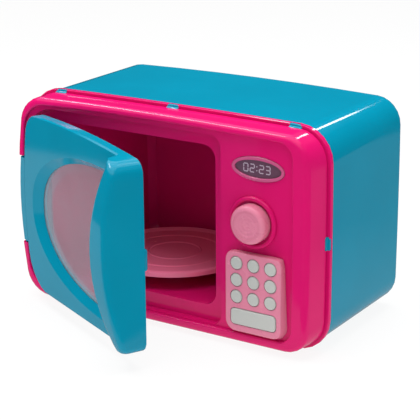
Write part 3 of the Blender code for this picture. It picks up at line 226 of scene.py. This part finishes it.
# Snap tabs in the frame's slots. Probes find the bead's line at one y, on both sides of a slot at a
# share of its width. The profile is (y, depth below the bead); the stations are half widths and the
# profile's size there
TAB_X = 0.1181
TAB_WIDTH = 0.0112
TAB_PROBE_Y = 0.0011
TAB_PROBE_SHARE = 0.6
TAB_PROFILE = ((0.00004, 0.00020), (0.00004, 0.0042), (-0.0046, 0.0042), (-0.0046, 0.00275),
               (-0.0042, 0.00240), (-0.0030, 0.00215), (-0.0025, 0.00180), (-0.0023, 0.00090),
               (-0.0020, 0.00040), (-0.0014, 0.00020))
TAB_STATIONS = ((-1, 0.80), (-0.92, 1.0), (0.92, 1.0), (1, 0.80))

# Door's catch, along and behind the door. Its stations: share of the length, narrower by, shorter by
CATCH_LEFT = 0.0696
CATCH_RIGHT = 0.0748
CATCH_START = -0.0766
CATCH_END = -0.0688
CATCH_MIDDLE_Z = 0.0885
CATCH_HEIGHT = 0.0184
CATCH_CORNER = 0.0009
CATCH_STATIONS = ((0.0, 0.0, 0.0), (0.55, 0.0, 0.0), (0.88, 0.0007, 0.0004), (1.0, 0.0016, 0.0012))

# Edges that turn more than this stay sharp, and points nearer than this are one
SMOOTH_BELOW = math.radians(28)
WELD_DISTANCE = 0.00001


class Value:
    """A shader socket that takes part in sums: each operation on it adds its Math node."""

    def __init__(self, graph, socket):
        self.graph = graph
        self.socket = socket

    def sum_with(self, operation, first, second):
        return self.graph.add("ShaderNodeMath", {"operation": operation}, {0: first, 1: second})

    def __add__(self, other):
        return self.sum_with("ADD", self, other)

    def __radd__(self, other):
        return self.sum_with("ADD", other, self)

    def __sub__(self, other):
        return self.sum_with("SUBTRACT", self, other)

    def __rsub__(self, other):
        return self.sum_with("SUBTRACT", other, self)

    def __mul__(self, other):
        return self.sum_with("MULTIPLY", self, other)

    def __rmul__(self, other):
        return self.sum_with("MULTIPLY", other, self)

    def __pow__(self, other):
        return self.sum_with("POWER", self, other)


class Graph:
    """The node tree of a material or of the world."""

    def __init__(self, owner):
        owner.use_nodes = True
        self.tree = owner.node_tree
        self.tree.nodes.clear()

    def add(self, kind, settings=None, inputs=None, output=0):
        """Makes one node: its settings first, then the values and links of its sockets."""
        made = self.tree.nodes.new(kind)
        for name, value in (settings or {}).items():
            setattr(made, name, value)
        for name, value in (inputs or {}).items():
            if isinstance(value, Value):
                self.tree.links.new(value.socket, made.inputs[name])
            else:
                made.inputs[name].default_value = value
        return Value(self, made.outputs[output]) if len(made.outputs) else made

    def place(self):
        """Object coordinates of the shaded point."""
        return self.add("ShaderNodeTexCoord", output="Object")

    def coordinate(self, which):
        """One of the shaded point's Object coordinates: 0, 1 or 2 for x, y or z."""
        return self.add("ShaderNodeSeparateXYZ", inputs={0: self.place()}, output=which)

    def across(self):
        """How far to the right of the model's middle the shaded point lies, as the camera sees it."""
        return self.coordinate(0) * math.cos(AZIMUTH) + self.coordinate(1) * math.sin(AZIMUTH)

    def noise(self, scale, detail, roughness):
        """Noise about the shaded point, from 0 to 1."""
        return self.add("ShaderNodeTexNoise", inputs={
            "Vector": self.place(), "Scale": scale, "Detail": detail, "Roughness": roughness})

    def spread(self, value, low, high, out_low=0.0, out_high=1.0):
        """Stretches a range of values to another range, and holds it there."""
        return self.add("ShaderNodeMapRange", {"clamp": True}, {
            "Value": value, "From Min": low, "From Max": high, "To Min": out_low, "To Max": out_high})

    def blend(self, share, first, second):
        """Mixes two colours by a share."""
        return self.add("ShaderNodeMix", {"data_type": "RGBA"}, {
            0: share, 6: colour4(first), 7: colour4(second)}, output=2)


def colour4(colour):
    """A colour with its alpha, or a link as it is."""
    return colour if isinstance(colour, Value) else (*colour, 1.0)


def tinted(colour, by):
    """A colour made lighter or darker by one share."""
    return tuple(min(channel * by, 1.0) for channel in colour)


def node_points(node):
    """Points of a solid's mesh, as an array n x 3."""
    vertices = frame["nodes"][node].data.vertices
    points = np.zeros(len(vertices) * 3)
    vertices.foreach_get("co", points)
    return points.reshape(-1, 3)


def node_faces(node):
    """Faces of a solid's mesh, each as the numbers of its points."""
    return [tuple(face.vertices) for face in frame["nodes"][node].data.polygons]


def placed(name, data):
    """A new object for a mesh, a lamp or a camera, linked into the scene."""
    made = bpy.data.objects.new(name, data)
    bpy.context.scene.collection.objects.link(made)
    return made


def plastic(name, colour, gloss=0.08, cloud=0.03, marks=0.35):
    """Moulded plastic: slow clouds in its colour, handling marks in its gloss and a faint orange peel.

    The gloss is a roughness. The cloud and the marks are the shares by which colour and gloss change.
    """
    made = bpy.data.materials.new(name)
    graph = Graph(made)
    clouds = graph.spread(graph.noise(*CLOUD_NOISE), *CLOUD_RANGE)
    base = graph.blend(clouds, tinted(colour, 1 - cloud), tinted(colour, 1 + cloud))
    handled = graph.spread(graph.noise(*HANDLED_NOISE), *HANDLED_RANGE)
    rough = gloss + handled * (gloss * marks)
    bump = graph.add("ShaderNodeBump", inputs={
        "Height": graph.noise(*PEEL_NOISE), "Strength": PEEL_STRENGTH, "Distance": PEEL_DEPTH})
    shader = graph.add("ShaderNodeBsdfPrincipled", inputs={
        "Base Color": base, "Roughness": rough, "Normal": bump})
    graph.add("ShaderNodeOutputMaterial", inputs={"Surface": shader})
    return made


def pane_plastic(name, tint):
    """A clear pane with a milky film, paler along its curved left edge, where a reflection is painted into its
    colour.

    The edge follows a superellipse, a^power + b^power = 1, with a counted leftwards from the middle of
    the curve and b up and down.
    """
    made = bpy.data.materials.new(name)
    graph = Graph(made)
    points = node_points("window_pane")
    along = points[:, 0] * math.cos(DOOR_TURN) - points[:, 1] * math.sin(DOOR_TURN)
    left, middle = float(along.min()), float(along.max()) - PANE_STRAIGHT
    bottom, top = float(points[:, 2].min()), float(points[:, 2].max())
    sideways = (graph.coordinate(0) * math.cos(DOOR_TURN)
                - graph.coordinate(1) * math.sin(DOOR_TURN))
    z = graph.coordinate(2)
    leftwards = graph.spread(sideways, left, middle, 1, 0)
    upwards = (z - (top + bottom) / 2) * (2 / (top - bottom))
    level = leftwards ** PANE_POWER + (upwards * upwards) ** (PANE_POWER / 2)
    below_top = graph.spread(z, top, top - PANE_REFLECTION_FADES, 0.0, PANE_REFLECTION_SHARE)
    film = graph.spread(graph.noise(*FILM_NOISE), *FILM_RANGE,
                        PANE_HIDES - FILM_CHANGE, PANE_HIDES + FILM_CHANGE)
    rough = graph.spread(graph.noise(*PANE_MARK_NOISE), *PANE_MARK_RANGE, *PANE_GLOSS)
    base = graph.blend(graph.noise(*PANE_CLOUD_NOISE), tinted(tint, 1 - PANE_CLOUD),
                       tinted(tint, 1 + PANE_CLOUD))
    # Painted reflection: the pane turns pale along its curved edge, less so towards the top
    base = graph.blend(graph.spread(level, *PANE_REFLECTION_BAND) * below_top, base, PANE_REFLECTION_TINT)
    shader = graph.add("ShaderNodeBsdfPrincipled", inputs={
        "Base Color": base, "Roughness": rough, "Alpha": film, "IOR": PANE_BEND, "Coat Weight": 1.0,
        "Coat Roughness": PANE_SKIN_GLOSS})
    graph.add("ShaderNodeOutputMaterial", inputs={"Surface": shader})
    return made


def metal(name, colour):
    """Plated steel with turned marks and a little tarnish."""
    made = bpy.data.materials.new(name)
    graph = Graph(made)
    tarnish = graph.spread(graph.noise(*TARNISH_NOISE), *TARNISH_RANGE)
    base = graph.blend(tarnish, colour, tinted(colour, TARNISH_DARKENS))
    bump = graph.add("ShaderNodeBump", inputs={
        "Height": graph.noise(*TURNING_NOISE), "Strength": TURNING_STRENGTH, "Distance": FINE_DEPTH})
    shader = graph.add("ShaderNodeBsdfPrincipled", inputs={
        "Base Color": base, "Roughness": STEEL_GLOSS + tarnish * TARNISH_GLOSS, "Metallic": 1.0,
        "Normal": bump})
    graph.add("ShaderNodeOutputMaterial", inputs={"Surface": shader})
    return made


def rubber(name, colour):
    """Soft matt sheet with a fine grain."""
    made = bpy.data.materials.new(name)
    graph = Graph(made)
    grain = graph.noise(*RUBBER_NOISE)
    darker, lighter = (tinted(colour, shade) for shade in RUBBER_SHADES)
    base = graph.blend(grain, darker, lighter)
    bump = graph.add("ShaderNodeBump", inputs={
        "Height": grain, "Strength": RUBBER_STRENGTH, "Distance": FINE_DEPTH})
    shader = graph.add("ShaderNodeBsdfPrincipled", inputs={
        "Base Color": base, "Roughness": RUBBER_GLOSS + grain * RUBBER_GRAIN_GLOSS, "Normal": bump})
    graph.add("ShaderNodeOutputMaterial", inputs={"Surface": shader})
    return made


def dress(node, material):
    """Gives a solid its material, with smooth shading between its sharp edges."""
    item = frame["nodes"][node]
    item.data.materials.clear()
    item.data.materials.append(material)
    item.data.polygons.foreach_set("use_smooth", np.ones(len(item.data.polygons), dtype=bool))
    weld = item.modifiers.new("weld", "WELD")
    weld.merge_threshold = WELD_DISTANCE
    split = item.modifiers.new("sharp_edges", "EDGE_SPLIT")
    split.split_angle = SMOOTH_BELOW
    split.use_edge_sharp = False
    even = item.modifiers.new("even_shading", "WEIGHTED_NORMAL")
    even.mode = "FACE_AREA_WITH_ANGLE"


def dress_nodes():
    """Makes the finishes and the scene's own pieces, and gives every solid its finish."""
    teal = plastic("teal_plastic", TEAL)
    pink = plastic("pink_plastic", PINK)
    pale = plastic("pale_pink_plastic", PALE_PINK, gloss=0.26, cloud=0.02, marks=0.12)
    # The plate's colour holds painted light: the cavity's pink bounce light
    plate = plastic("plate_pink_with_painted_bounce", PLATE_PINK_WITH_PAINTED_BOUNCE, gloss=0.26, cloud=0.015, marks=0.06)
    ring = plastic("display_ring_plastic", RING_PINK, gloss=0.22)
    keys = plastic("grey_key_plastic", KEY_GREY, gloss=0.36)
    display = plastic("display_face", DISPLAY_GREY, gloss=0.12)
    pane = pane_plastic("window_plastic", PANE_TINT)
    steel = metal("plated_steel", STEEL)
    mat = rubber("grey_rubber", RUBBER)
    by_slot = {"teal": teal, "pink": pink, "pale_pink": pale, "key_grey": keys,
               "display_grey": display, "pane": pane, "steel": steel, "rubber_grey": mat}
    own = {"turntable_plate": plate, "display_bezel": ring}
    make_knob(pale)
    make_keypad(pale)
    make_digits(plastic("display_digit_print", DIGIT_GREY, gloss=0.30))
    make_screws(steel)
    make_tab_caps(teal)
    make_catch(teal)
    for part in frame["record"]["subparts"]:
        dress(part["node"], own.get(part["node"], by_slot[part["material_slot"]]))


def closed_rings(name, rings, material, body):
    """Piece made of closed rings, an array rings x points x 3.

    Quads join each ring to the next, and a fan of triangles about the mean of the first and of the last
    ring closes the ends.
    """
    count, around = rings.shape[:2]
    points = np.concatenate([rings.reshape(-1, 3), rings[:1].mean(axis=1), rings[-1:].mean(axis=1)])
    here = np.arange(around)
    after = (here + 1) % around
    rows = np.arange(count - 1)[:, None] * around
    quads = np.stack([rows + here, rows + after, rows + after + around, rows + here + around], axis=2)
    last = (count - 1) * around
    fans = [np.stack([np.full(around, count * around), after, here], axis=1),
            np.stack([np.full(around, count * around + 1), here + last, after + last], axis=1)]
    return piece(name, points, quads.reshape(-1, 4).tolist() + np.concatenate(fans).tolist(),
                 material, body)


def piece(name, points, faces, material, body):
    """A finished piece: its faces turned outwards, smooth below the sharp angle, riding on its body."""
    mesh = bpy.data.meshes.new(name)
    mesh.from_pydata(points.tolist(), [], faces)
    builder = bmesh.new()
    builder.from_mesh(mesh)
    bmesh.ops.remove_doubles(builder, verts=builder.verts, dist=WELD_DISTANCE / 10)
    bmesh.ops.recalc_face_normals(builder, faces=builder.faces)
    builder.to_mesh(mesh)
    builder.free()
    mesh.materials.append(material)
    mesh.polygons.foreach_set("use_smooth", np.ones(len(mesh.polygons), dtype=bool))
    mesh.set_sharp_from_angle(angle=SMOOTH_BELOW)
    made = placed(name, mesh)
    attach(made, body)
    return made


def turned(profile, centre, axis, sides):
    """Rings of a turned form: centre + axis * along + radius * (cos t * right + sin t * up).

    The profile is an array of (radius, along).
    """
    axis = np.array(axis)
    up = np.array((0.0, 0.0, 1.0))
    right = np.cross(up, axis)
    turns = np.linspace(0, 2 * math.pi, sides, endpoint=False)
    rim = np.cos(turns)[:, None] * right + np.sin(turns)[:, None] * up
    return np.array(centre) + profile[:, 1, None, None] * axis + profile[:, 0, None, None] * rim


def rounded_outline(half_width, half_height, corner, steps=5):
    """Points of a rectangle with round corners: corner centre + corner * (cos t, sin t)."""
    turns = np.linspace(0, math.pi / 2, steps)
    signs = np.array(((1, 1), (-1, 1), (-1, -1), (1, -1)))
    middles = signs * (half_width - corner, half_height - corner)
    angles = turns + np.arange(4)[:, None] * math.pi / 2
    arcs = middles[:, None] + corner * np.stack([np.cos(angles), np.sin(angles)], axis=2)
    return arcs.reshape(-1, 2)


def make_knob(material):
    """Dial with a soft edge, a shallow dished face and low ripples in it, on its stem.

    Face: depth = dish * (1 - (r / face)^2) + ripple * (1 - cos(2 pi r / pitch)) / 2.
    """
    low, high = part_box("knob")
    centre = ((low.x + high.x) / 2, 0.0, (low.z + high.z) / 2)
    front, skirt = low.y + KNOB_FRONT_BACK, low.y + KNOB_SKIRT
    r = np.linspace(0, KNOB_FACE_RADIUS, KNOB_FACE_RINGS)
    depth = KNOB_DISH * (1 - (r / KNOB_FACE_RADIUS) ** 2) + KNOB_RIPPLE * (
        1 - np.cos(2 * math.pi * r / KNOB_RIPPLE_PITCH)) / 2
    face = np.stack([r, front + KNOB_STEP + depth], axis=1)
    turns = np.linspace(0, math.pi / 2, KNOB_EDGE_RINGS)
    edge = np.stack([KNOB_RADIUS - KNOB_ROUND * (1 - np.sin(turns)),
                     front + KNOB_ROUND * (1 - np.cos(turns))], axis=1)
    inner = KNOB_RADIUS - KNOB_WALL
    behind = np.array(((KNOB_RADIUS, skirt), (inner, skirt), (inner, front + KNOB_ROUND + KNOB_WALL),
                       (inner - KNOB_ROUND, front + KNOB_WALL + KNOB_STEP),
                       (KNOB_STEM, front + KNOB_WALL * KNOB_WEB), (KNOB_STEM, high.y), (0, high.y)))
    rings = turned(np.concatenate([face, edge, behind]), centre, (0, 1, 0), KNOB_SIDES)
    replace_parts(closed_rings("dial_cap", rings, material, "dial"), "knob")


def make_digits(material):
    """Four seven-segment digits and a colon: pointed bars, raised a little from the display face."""
    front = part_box("display_panel")[0].y
    half, tall = DIGIT_STROKE / 2, DIGIT_HEIGHT / 2
    wide = DIGIT_WIDTH / 2
    ends = {"a": (-wide, tall, wide, tall), "g": (-wide, 0, wide, 0), "d": (-wide, -tall, wide, -tall),
            "f": (-wide, 0, -wide, tall), "b": (wide, 0, wide, tall),
            "e": (-wide, -tall, -wide, 0), "c": (wide, -tall, wide, 0)}
    digits = (("abcdef", -1.5), ("abged", -0.5), ("abged", 0.5), ("abgcd", 1.5))
    bars = []
    for lit, step in digits:
        middle = step * DIGIT_PITCH + math.copysign(COLON_ROOM / 2, step)
        bars += [(ends[key][0] + middle, ends[key][1], ends[key][2] + middle, ends[key][3]) for key in lit]
    bars += [(-half, side * tall / 2, half, side * tall / 2) for side in (-1, 1)]
    bars = np.array(bars)
    start, stop = bars[:, None, :2], bars[:, None, 2:]
    along = (stop - start) / np.linalg.norm(stop - start, axis=2, keepdims=True)
    across = np.stack([-along[..., 1], along[..., 0]], axis=2)
    slant = DIGIT_GAP + half
    outline = np.concatenate([start + along * DIGIT_GAP, start + along * slant + across * half,
                              stop - along * slant + across * half, stop - along * DIGIT_GAP,
                              stop - along * slant - across * half,
                              start + along * slant - across * half], axis=1)
    outline[-2:] = bars[-2:, None, :2] + (half, 0) + np.array(
        ((-half, -half), (-half, half), (0, half), (half, half), (half, -half), (0, -half)))
    flat = outline.reshape(-1, 2) + (DISPLAY_MIDDLE[0], DISPLAY_MIDDLE[1])
    levels = [np.stack([flat[:, 0], np.full(len(flat), y), flat[:, 1]], axis=1)
              for y in (front - DIGIT_STAND, front + DIGIT_STAND)]
    first = np.arange(len(bars))[:, None] * BAR_CORNERS
    ring = np.arange(BAR_CORNERS)
    after = (ring + 1) % BAR_CORNERS
    total = len(flat)
    sides = np.stack([first + ring, first + after, first + after + total, first + ring + total], axis=2)
    caps = np.concatenate([first + ring, (first + ring + total)[:, ::-1]])
    piece("display_digits", np.concatenate(levels), sides.reshape(-1, 4).tolist() + caps.tolist(),
          material, "case")


def make_screws(material):
    """Round-headed screws with a cross recess.

    Head: height = -dome * thickness * (r / R)^2, less the recess where the smaller of the distances to
    the two arms' lines is under the arm's half width.
    """
    for kind, count, turn, body, thick, shank in SCREW_KINDS:
        names = [f"{kind}_{number}" for number in range(1, count + 1)] or [kind]
        for name in names:
            low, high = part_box(name)
            radius = (high.z - low.z) / 2
            axis = np.array((math.sin(turn), math.cos(turn), 0.0))
            side = np.array((math.cos(turn), math.sin(turn), 0.0))
            top = np.array((high.x - radius * side[0], high.y - radius * side[1], (low.z + high.z) / 2))
            length = (top[1] - low.y - shank * side[1]) / axis[1]
            r = np.linspace(SCREW_CENTRE, 1, SCREW_RINGS) * radius
            head = np.stack([r, -thick * SCREW_DOME * (r / radius) ** 2], axis=1)
            behind = np.array(((radius, -thick), (shank, -thick), (shank, -length + shank),
                               (shank * SCREW_POINT, -length)))
            rings = turned(np.concatenate([head, behind]), top, axis, SCREW_SIDES)
            turns = np.linspace(0, 2 * math.pi, SCREW_SIDES, endpoint=False)
            arm = r[:, None] * np.minimum(np.abs(np.sin(turns)), np.abs(np.cos(turns)))[None]
            inside = np.clip((radius * RECESS_HALF - arm) / (radius * RECESS_WALL), 0, 1)
            inside *= np.clip((RECESS_REACH - r[:, None] / radius) / RECESS_END, 0, 1)
            rings[:len(r)] -= (inside * thick * RECESS_DEPTH)[..., None] * axis
            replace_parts(closed_rings(name + "_head", rings, material, body), name)


def make_tab_caps(material):
    """Visible ends of the housing's seven snap tabs, each filling its slot and the notch in the bead.

    A rounded profile of (y, depth below the bead) is carried across the slot, along the bead's own line,
    and shrinks towards its middle at both ends.
    """
    low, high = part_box("front_frame")
    middle = (low.z + high.z) / 2
    shape = BVHTree.FromPolygons(node_points("front_frame").tolist(), node_faces("front_frame"))
    places = [((x, high.z), (0, 1)) for x in (-TAB_X, 0.0, TAB_X)]
    places += [((x, low.z), (0, -1)) for x in (-TAB_X, TAB_X)]
    places += [((high.x, middle), (1, 0)), ((low.x, middle), (-1, 0))]
    profile = np.array(TAB_PROFILE)
    centre = profile.mean(axis=0)
    for number, (place, out) in enumerate(places, start=1):
        out = Vector((out[0], 0.0, out[1]))
        across = Vector((abs(out.z), 0.0, abs(out.x)))
        start = Vector((place[0], TAB_PROBE_Y, place[1])) + out * TAB_WIDTH
        ends = [shape.ray_cast(start + across * side * TAB_WIDTH * TAB_PROBE_SHARE, -out)[0]
                for side in (-1, 1)]
        line = (ends[1] - ends[0]).normalized()
        foot = (ends[0] + ends[1]) / 2
        foot.y = 0.0
        rings = []
        for reach, size in TAB_STATIONS:
            points = centre + (profile - centre) * size
            section = points[:, :1] * np.array((0.0, 1.0, 0.0)) - points[:, 1:] * np.array(out)
            rings.append(np.array(foot + line * reach * TAB_WIDTH / 2) + section)
        closed_rings(f"snap_tab_cap_{number}", np.stack(rings), material, "case")


def make_catch(material):
    """Tongue of the door's catch: a block that tapers towards its end, along the door's own directions."""
    along = np.array((math.cos(DOOR_TURN), -math.sin(DOOR_TURN), 0.0))
    deep = np.array((math.sin(DOOR_TURN), math.cos(DOOR_TURN), 0.0))
    rings = []
    for share, narrower, shorter in CATCH_STATIONS:
        left, right = CATCH_LEFT + narrower / 2, CATCH_RIGHT - narrower
        ring = rounded_outline((right - left) / 2, CATCH_HEIGHT / 2 - shorter, CATCH_CORNER)
        depth = CATCH_START + (CATCH_END - CATCH_START) * share
        rings.append(along * ((left + right) / 2 + ring[:, :1]) + deep * depth
                     + np.array((0.0, 0.0, 1.0)) * (CATCH_MIDDLE_Z + ring[:, 1:]))
    closed_rings("door_catch_tongue", np.stack(rings), material, "door")


def make_keypad(material):
    """The keypad's plate: the solid's own form with its outer wall drawn in above and on the right.

    Past the key holes x and z shrink in a straight line towards the holes, and the wall's foot leans in
    by a further share of its depth.
    """
    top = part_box("keypad_plate")[1].z
    points = node_points("keypad_plate")
    x, y, z = points.T.copy()
    foot = np.clip((y - PAD_FACE_END) / (PAD_FOOT - PAD_FACE_END), 0, 1) * (y < PAD_FOOT + WELD_DISTANCE)
    past_right = np.clip((x - PAD_HOLES_RIGHT) / (PAD_RIGHT - PAD_HOLES_RIGHT), 0, 1)
    past_top = np.clip((z - PAD_HOLES_TOP) / (top - PAD_HOLES_TOP), 0, 1)
    points[:, 0] -= past_right * (PAD_DRAWN_RIGHT + foot * PAD_LEAN_RIGHT)
    points[:, 2] -= past_top * (PAD_DRAWN_TOP + foot * PAD_LEAN_TOP)
    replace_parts(piece("keypad_surround", points, node_faces("keypad_plate"), material, "case"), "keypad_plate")


def look_from(azimuth, elevation, roll, distance, target):
    """A camera's matrix: it looks at the target, turned by the roll about its own line of sight."""
    back = Vector((math.sin(azimuth) * math.cos(elevation), -math.cos(azimuth) * math.cos(elevation),
                   math.sin(elevation)))
    right = Vector((math.cos(azimuth), math.sin(azimuth), 0))
    up = back.cross(right)
    turned_right = right * math.cos(roll) + up * math.sin(roll)
    turned_up = up * math.cos(roll) - right * math.sin(roll)
    place = target + back * distance
    return Matrix(((turned_right.x, turned_up.x, back.x, place.x),
                   (turned_right.y, turned_up.y, back.y, place.y),
                   (turned_right.z, turned_up.z, back.z, place.z),
                   (0, 0, 0, 1)))


def make_camera():
    """The camera that the photograph's outlines fit."""
    lens = bpy.data.cameras.new("camera")
    lens.sensor_width = SENSOR
    lens.lens = FOCAL_PIXELS / PICTURE_SIDE * SENSOR
    lens.clip_start = NEAREST
    lens.clip_end = FARTHEST
    camera = placed("camera", lens)
    camera.matrix_world = look_from(AZIMUTH, ELEVATION, ROLL, DISTANCE, TARGET)
    bpy.context.scene.camera = camera


def softbox(name, place, aim, width, height, power):
    """A rectangular lamp that faces a point."""
    lamp = bpy.data.lights.new(name, "AREA")
    lamp.shape = "RECTANGLE"
    lamp.size = width
    lamp.size_y = height
    lamp.energy = power
    made = placed(name, lamp)
    made.location = place
    made.rotation_euler = (Vector(aim) - Vector(place)).to_track_quat("-Z", "Y").to_euler()
    return made


def tube(name, start, end, aim, width, power):
    """A long lamp between two points, turned about that line to face a point."""
    start, end = Vector(start), Vector(end)
    middle = (start + end) / 2
    made = softbox(name, middle, aim, (end - start).length, width, power)
    along = (end - start).normalized()
    back = middle - Vector(aim)
    back = (back - along * back.dot(along)).normalized()
    over = back.cross(along)
    made.rotation_euler = Matrix((along, over, back)).transposed().to_euler()
    return made


def make_world():
    """White to the camera, to reflections and through clear plastic; a dimmer even fill for the rest."""
    world = bpy.data.worlds.new("studio")
    bpy.context.scene.world = world
    graph = Graph(world)
    seen = graph.add("ShaderNodeLightPath", output="Is Camera Ray")
    glossy = graph.add("ShaderNodeLightPath", output="Is Glossy Ray")
    through = graph.add("ShaderNodeLightPath", output="Is Transmission Ray")
    strength = graph.spread(seen + glossy + through, 0, 1, AMBIENT, 1.0)
    background = graph.add("ShaderNodeBackground", inputs={"Color": (1, 1, 1, 1), "Strength": strength})
    graph.add("ShaderNodeOutputWorld", inputs={"Surface": background})


def surface(name, points, faces, material):
    """A plain surface of the studio."""
    mesh = bpy.data.meshes.new(name)
    mesh.from_pydata(points, [], faces)
    mesh.materials.append(material)
    return placed(name, mesh)


def floor_material():
    """White to the camera, with the toy's shadow; to reflections, a lit table top in a dark room."""
    made = bpy.data.materials.new("white_floor")
    graph = Graph(made)
    lit = graph.add("ShaderNodeBsdfDiffuse", inputs={"Color": (FLOOR_GREY, FLOOR_GREY, FLOOR_GREY, 1)})
    seen = graph.add("ShaderNodeLightPath", output="Is Camera Ray")
    glow = graph.add("ShaderNodeEmission", inputs={
        "Color": (1, 1, 1, 1), "Strength": graph.spread(seen, 0, 1, FLOOR_BOUNCE, 1.0)})
    glossy = graph.add("ShaderNodeLightPath", output="Is Glossy Ray")
    share = graph.spread(seen, 0, 1, BOUNCE_SHARE, FLOOR_GLOW)
    shown = graph.add("ShaderNodeMixShader", inputs={0: share, 1: lit, 2: glow})
    across = graph.across()
    nearer = graph.coordinate(0) * math.sin(AZIMUTH) - graph.coordinate(1) * math.cos(AZIMUTH)
    on_table = (graph.spread(across, TABLE_LEFT - TABLE_EDGE, TABLE_LEFT)
                * graph.spread(across, TABLE_RIGHT + TABLE_EDGE, TABLE_RIGHT)
                * graph.spread(nearer, TABLE_FRONT + TABLE_EDGE, TABLE_FRONT))
    light = graph.spread(across, *TABLE_LIGHT_FALLS, TABLE_LIGHT, TABLE_FAR_LIGHT) * on_table
    top = graph.add("ShaderNodeEmission", inputs={
        "Color": (1, 1, 1, 1), "Strength": light + ROOM_LIGHT})
    both = graph.add("ShaderNodeMixShader", inputs={0: glossy, 1: shown, 2: top})
    graph.add("ShaderNodeOutputMaterial", inputs={"Surface": both})
    return made


def dark_material():
    """Dark cloth, lit high up and more so on the left."""
    made = bpy.data.materials.new("dark_room")
    graph = Graph(made)
    light = graph.spread(graph.across(), *WALL_LIGHT_FALLS, WALL_LIGHT, WALL_FAR_LIGHT)
    high_up = graph.spread(graph.coordinate(2), *WALL_BAND)
    glow = graph.add("ShaderNodeEmission", inputs={
        "Color": (1, 1, 1, 1), "Strength": high_up * light + ROOM_LIGHT})
    graph.add("ShaderNodeOutputMaterial", inputs={"Surface": glow})
    return made


def dark_walls(radius, height, sides):
    """Round wall of dark cloth that only reflections see: x, y = radius cos t, radius sin t."""
    turns = np.linspace(0, 2 * math.pi, sides, endpoint=False)
    ring = np.stack([radius * np.cos(turns), radius * np.sin(turns), np.zeros(sides)], axis=1)
    points = np.concatenate([ring, ring + (0, 0, height)])
    first = np.arange(sides)
    after = (first + 1) % sides
    faces = np.stack([first, after, after + sides, first + sides], axis=1)
    made = surface("dark_walls", points.tolist(), faces.tolist(), dark_material())
    made.visible_camera = False
    made.visible_diffuse = False
    made.visible_transmission = False
    made.visible_shadow = False
    return made


def make_studio():
    """The floor, the dark walls, the lamps and the world."""
    far = FLOOR_REACH
    surface("floor", [(-far, -far, 0), (far, -far, 0), (far, far, 0), (-far, far, 0)],
                     [(0, 1, 2, 3)], floor_material())
    dark_walls(WALL_RADIUS, WALL_HEIGHT, WALL_SIDES)
    for name, place, power in BOXES:
        softbox(name, place, BOX_AIM, *BOX_SIZE, power).visible_glossy = False
    for settings in TUBES:
        tube(*settings)
    softbox("rim_strip", RIM_STRIP_PLACE, RIM_STRIP_AIM, *RIM_STRIP_SIZE, RIM_STRIP_WATTS)
    make_world()


def main():
    bpy.context.scene.view_settings.view_transform = "Standard"
    make_camera()
    dress_nodes()
    make_studio()


main()
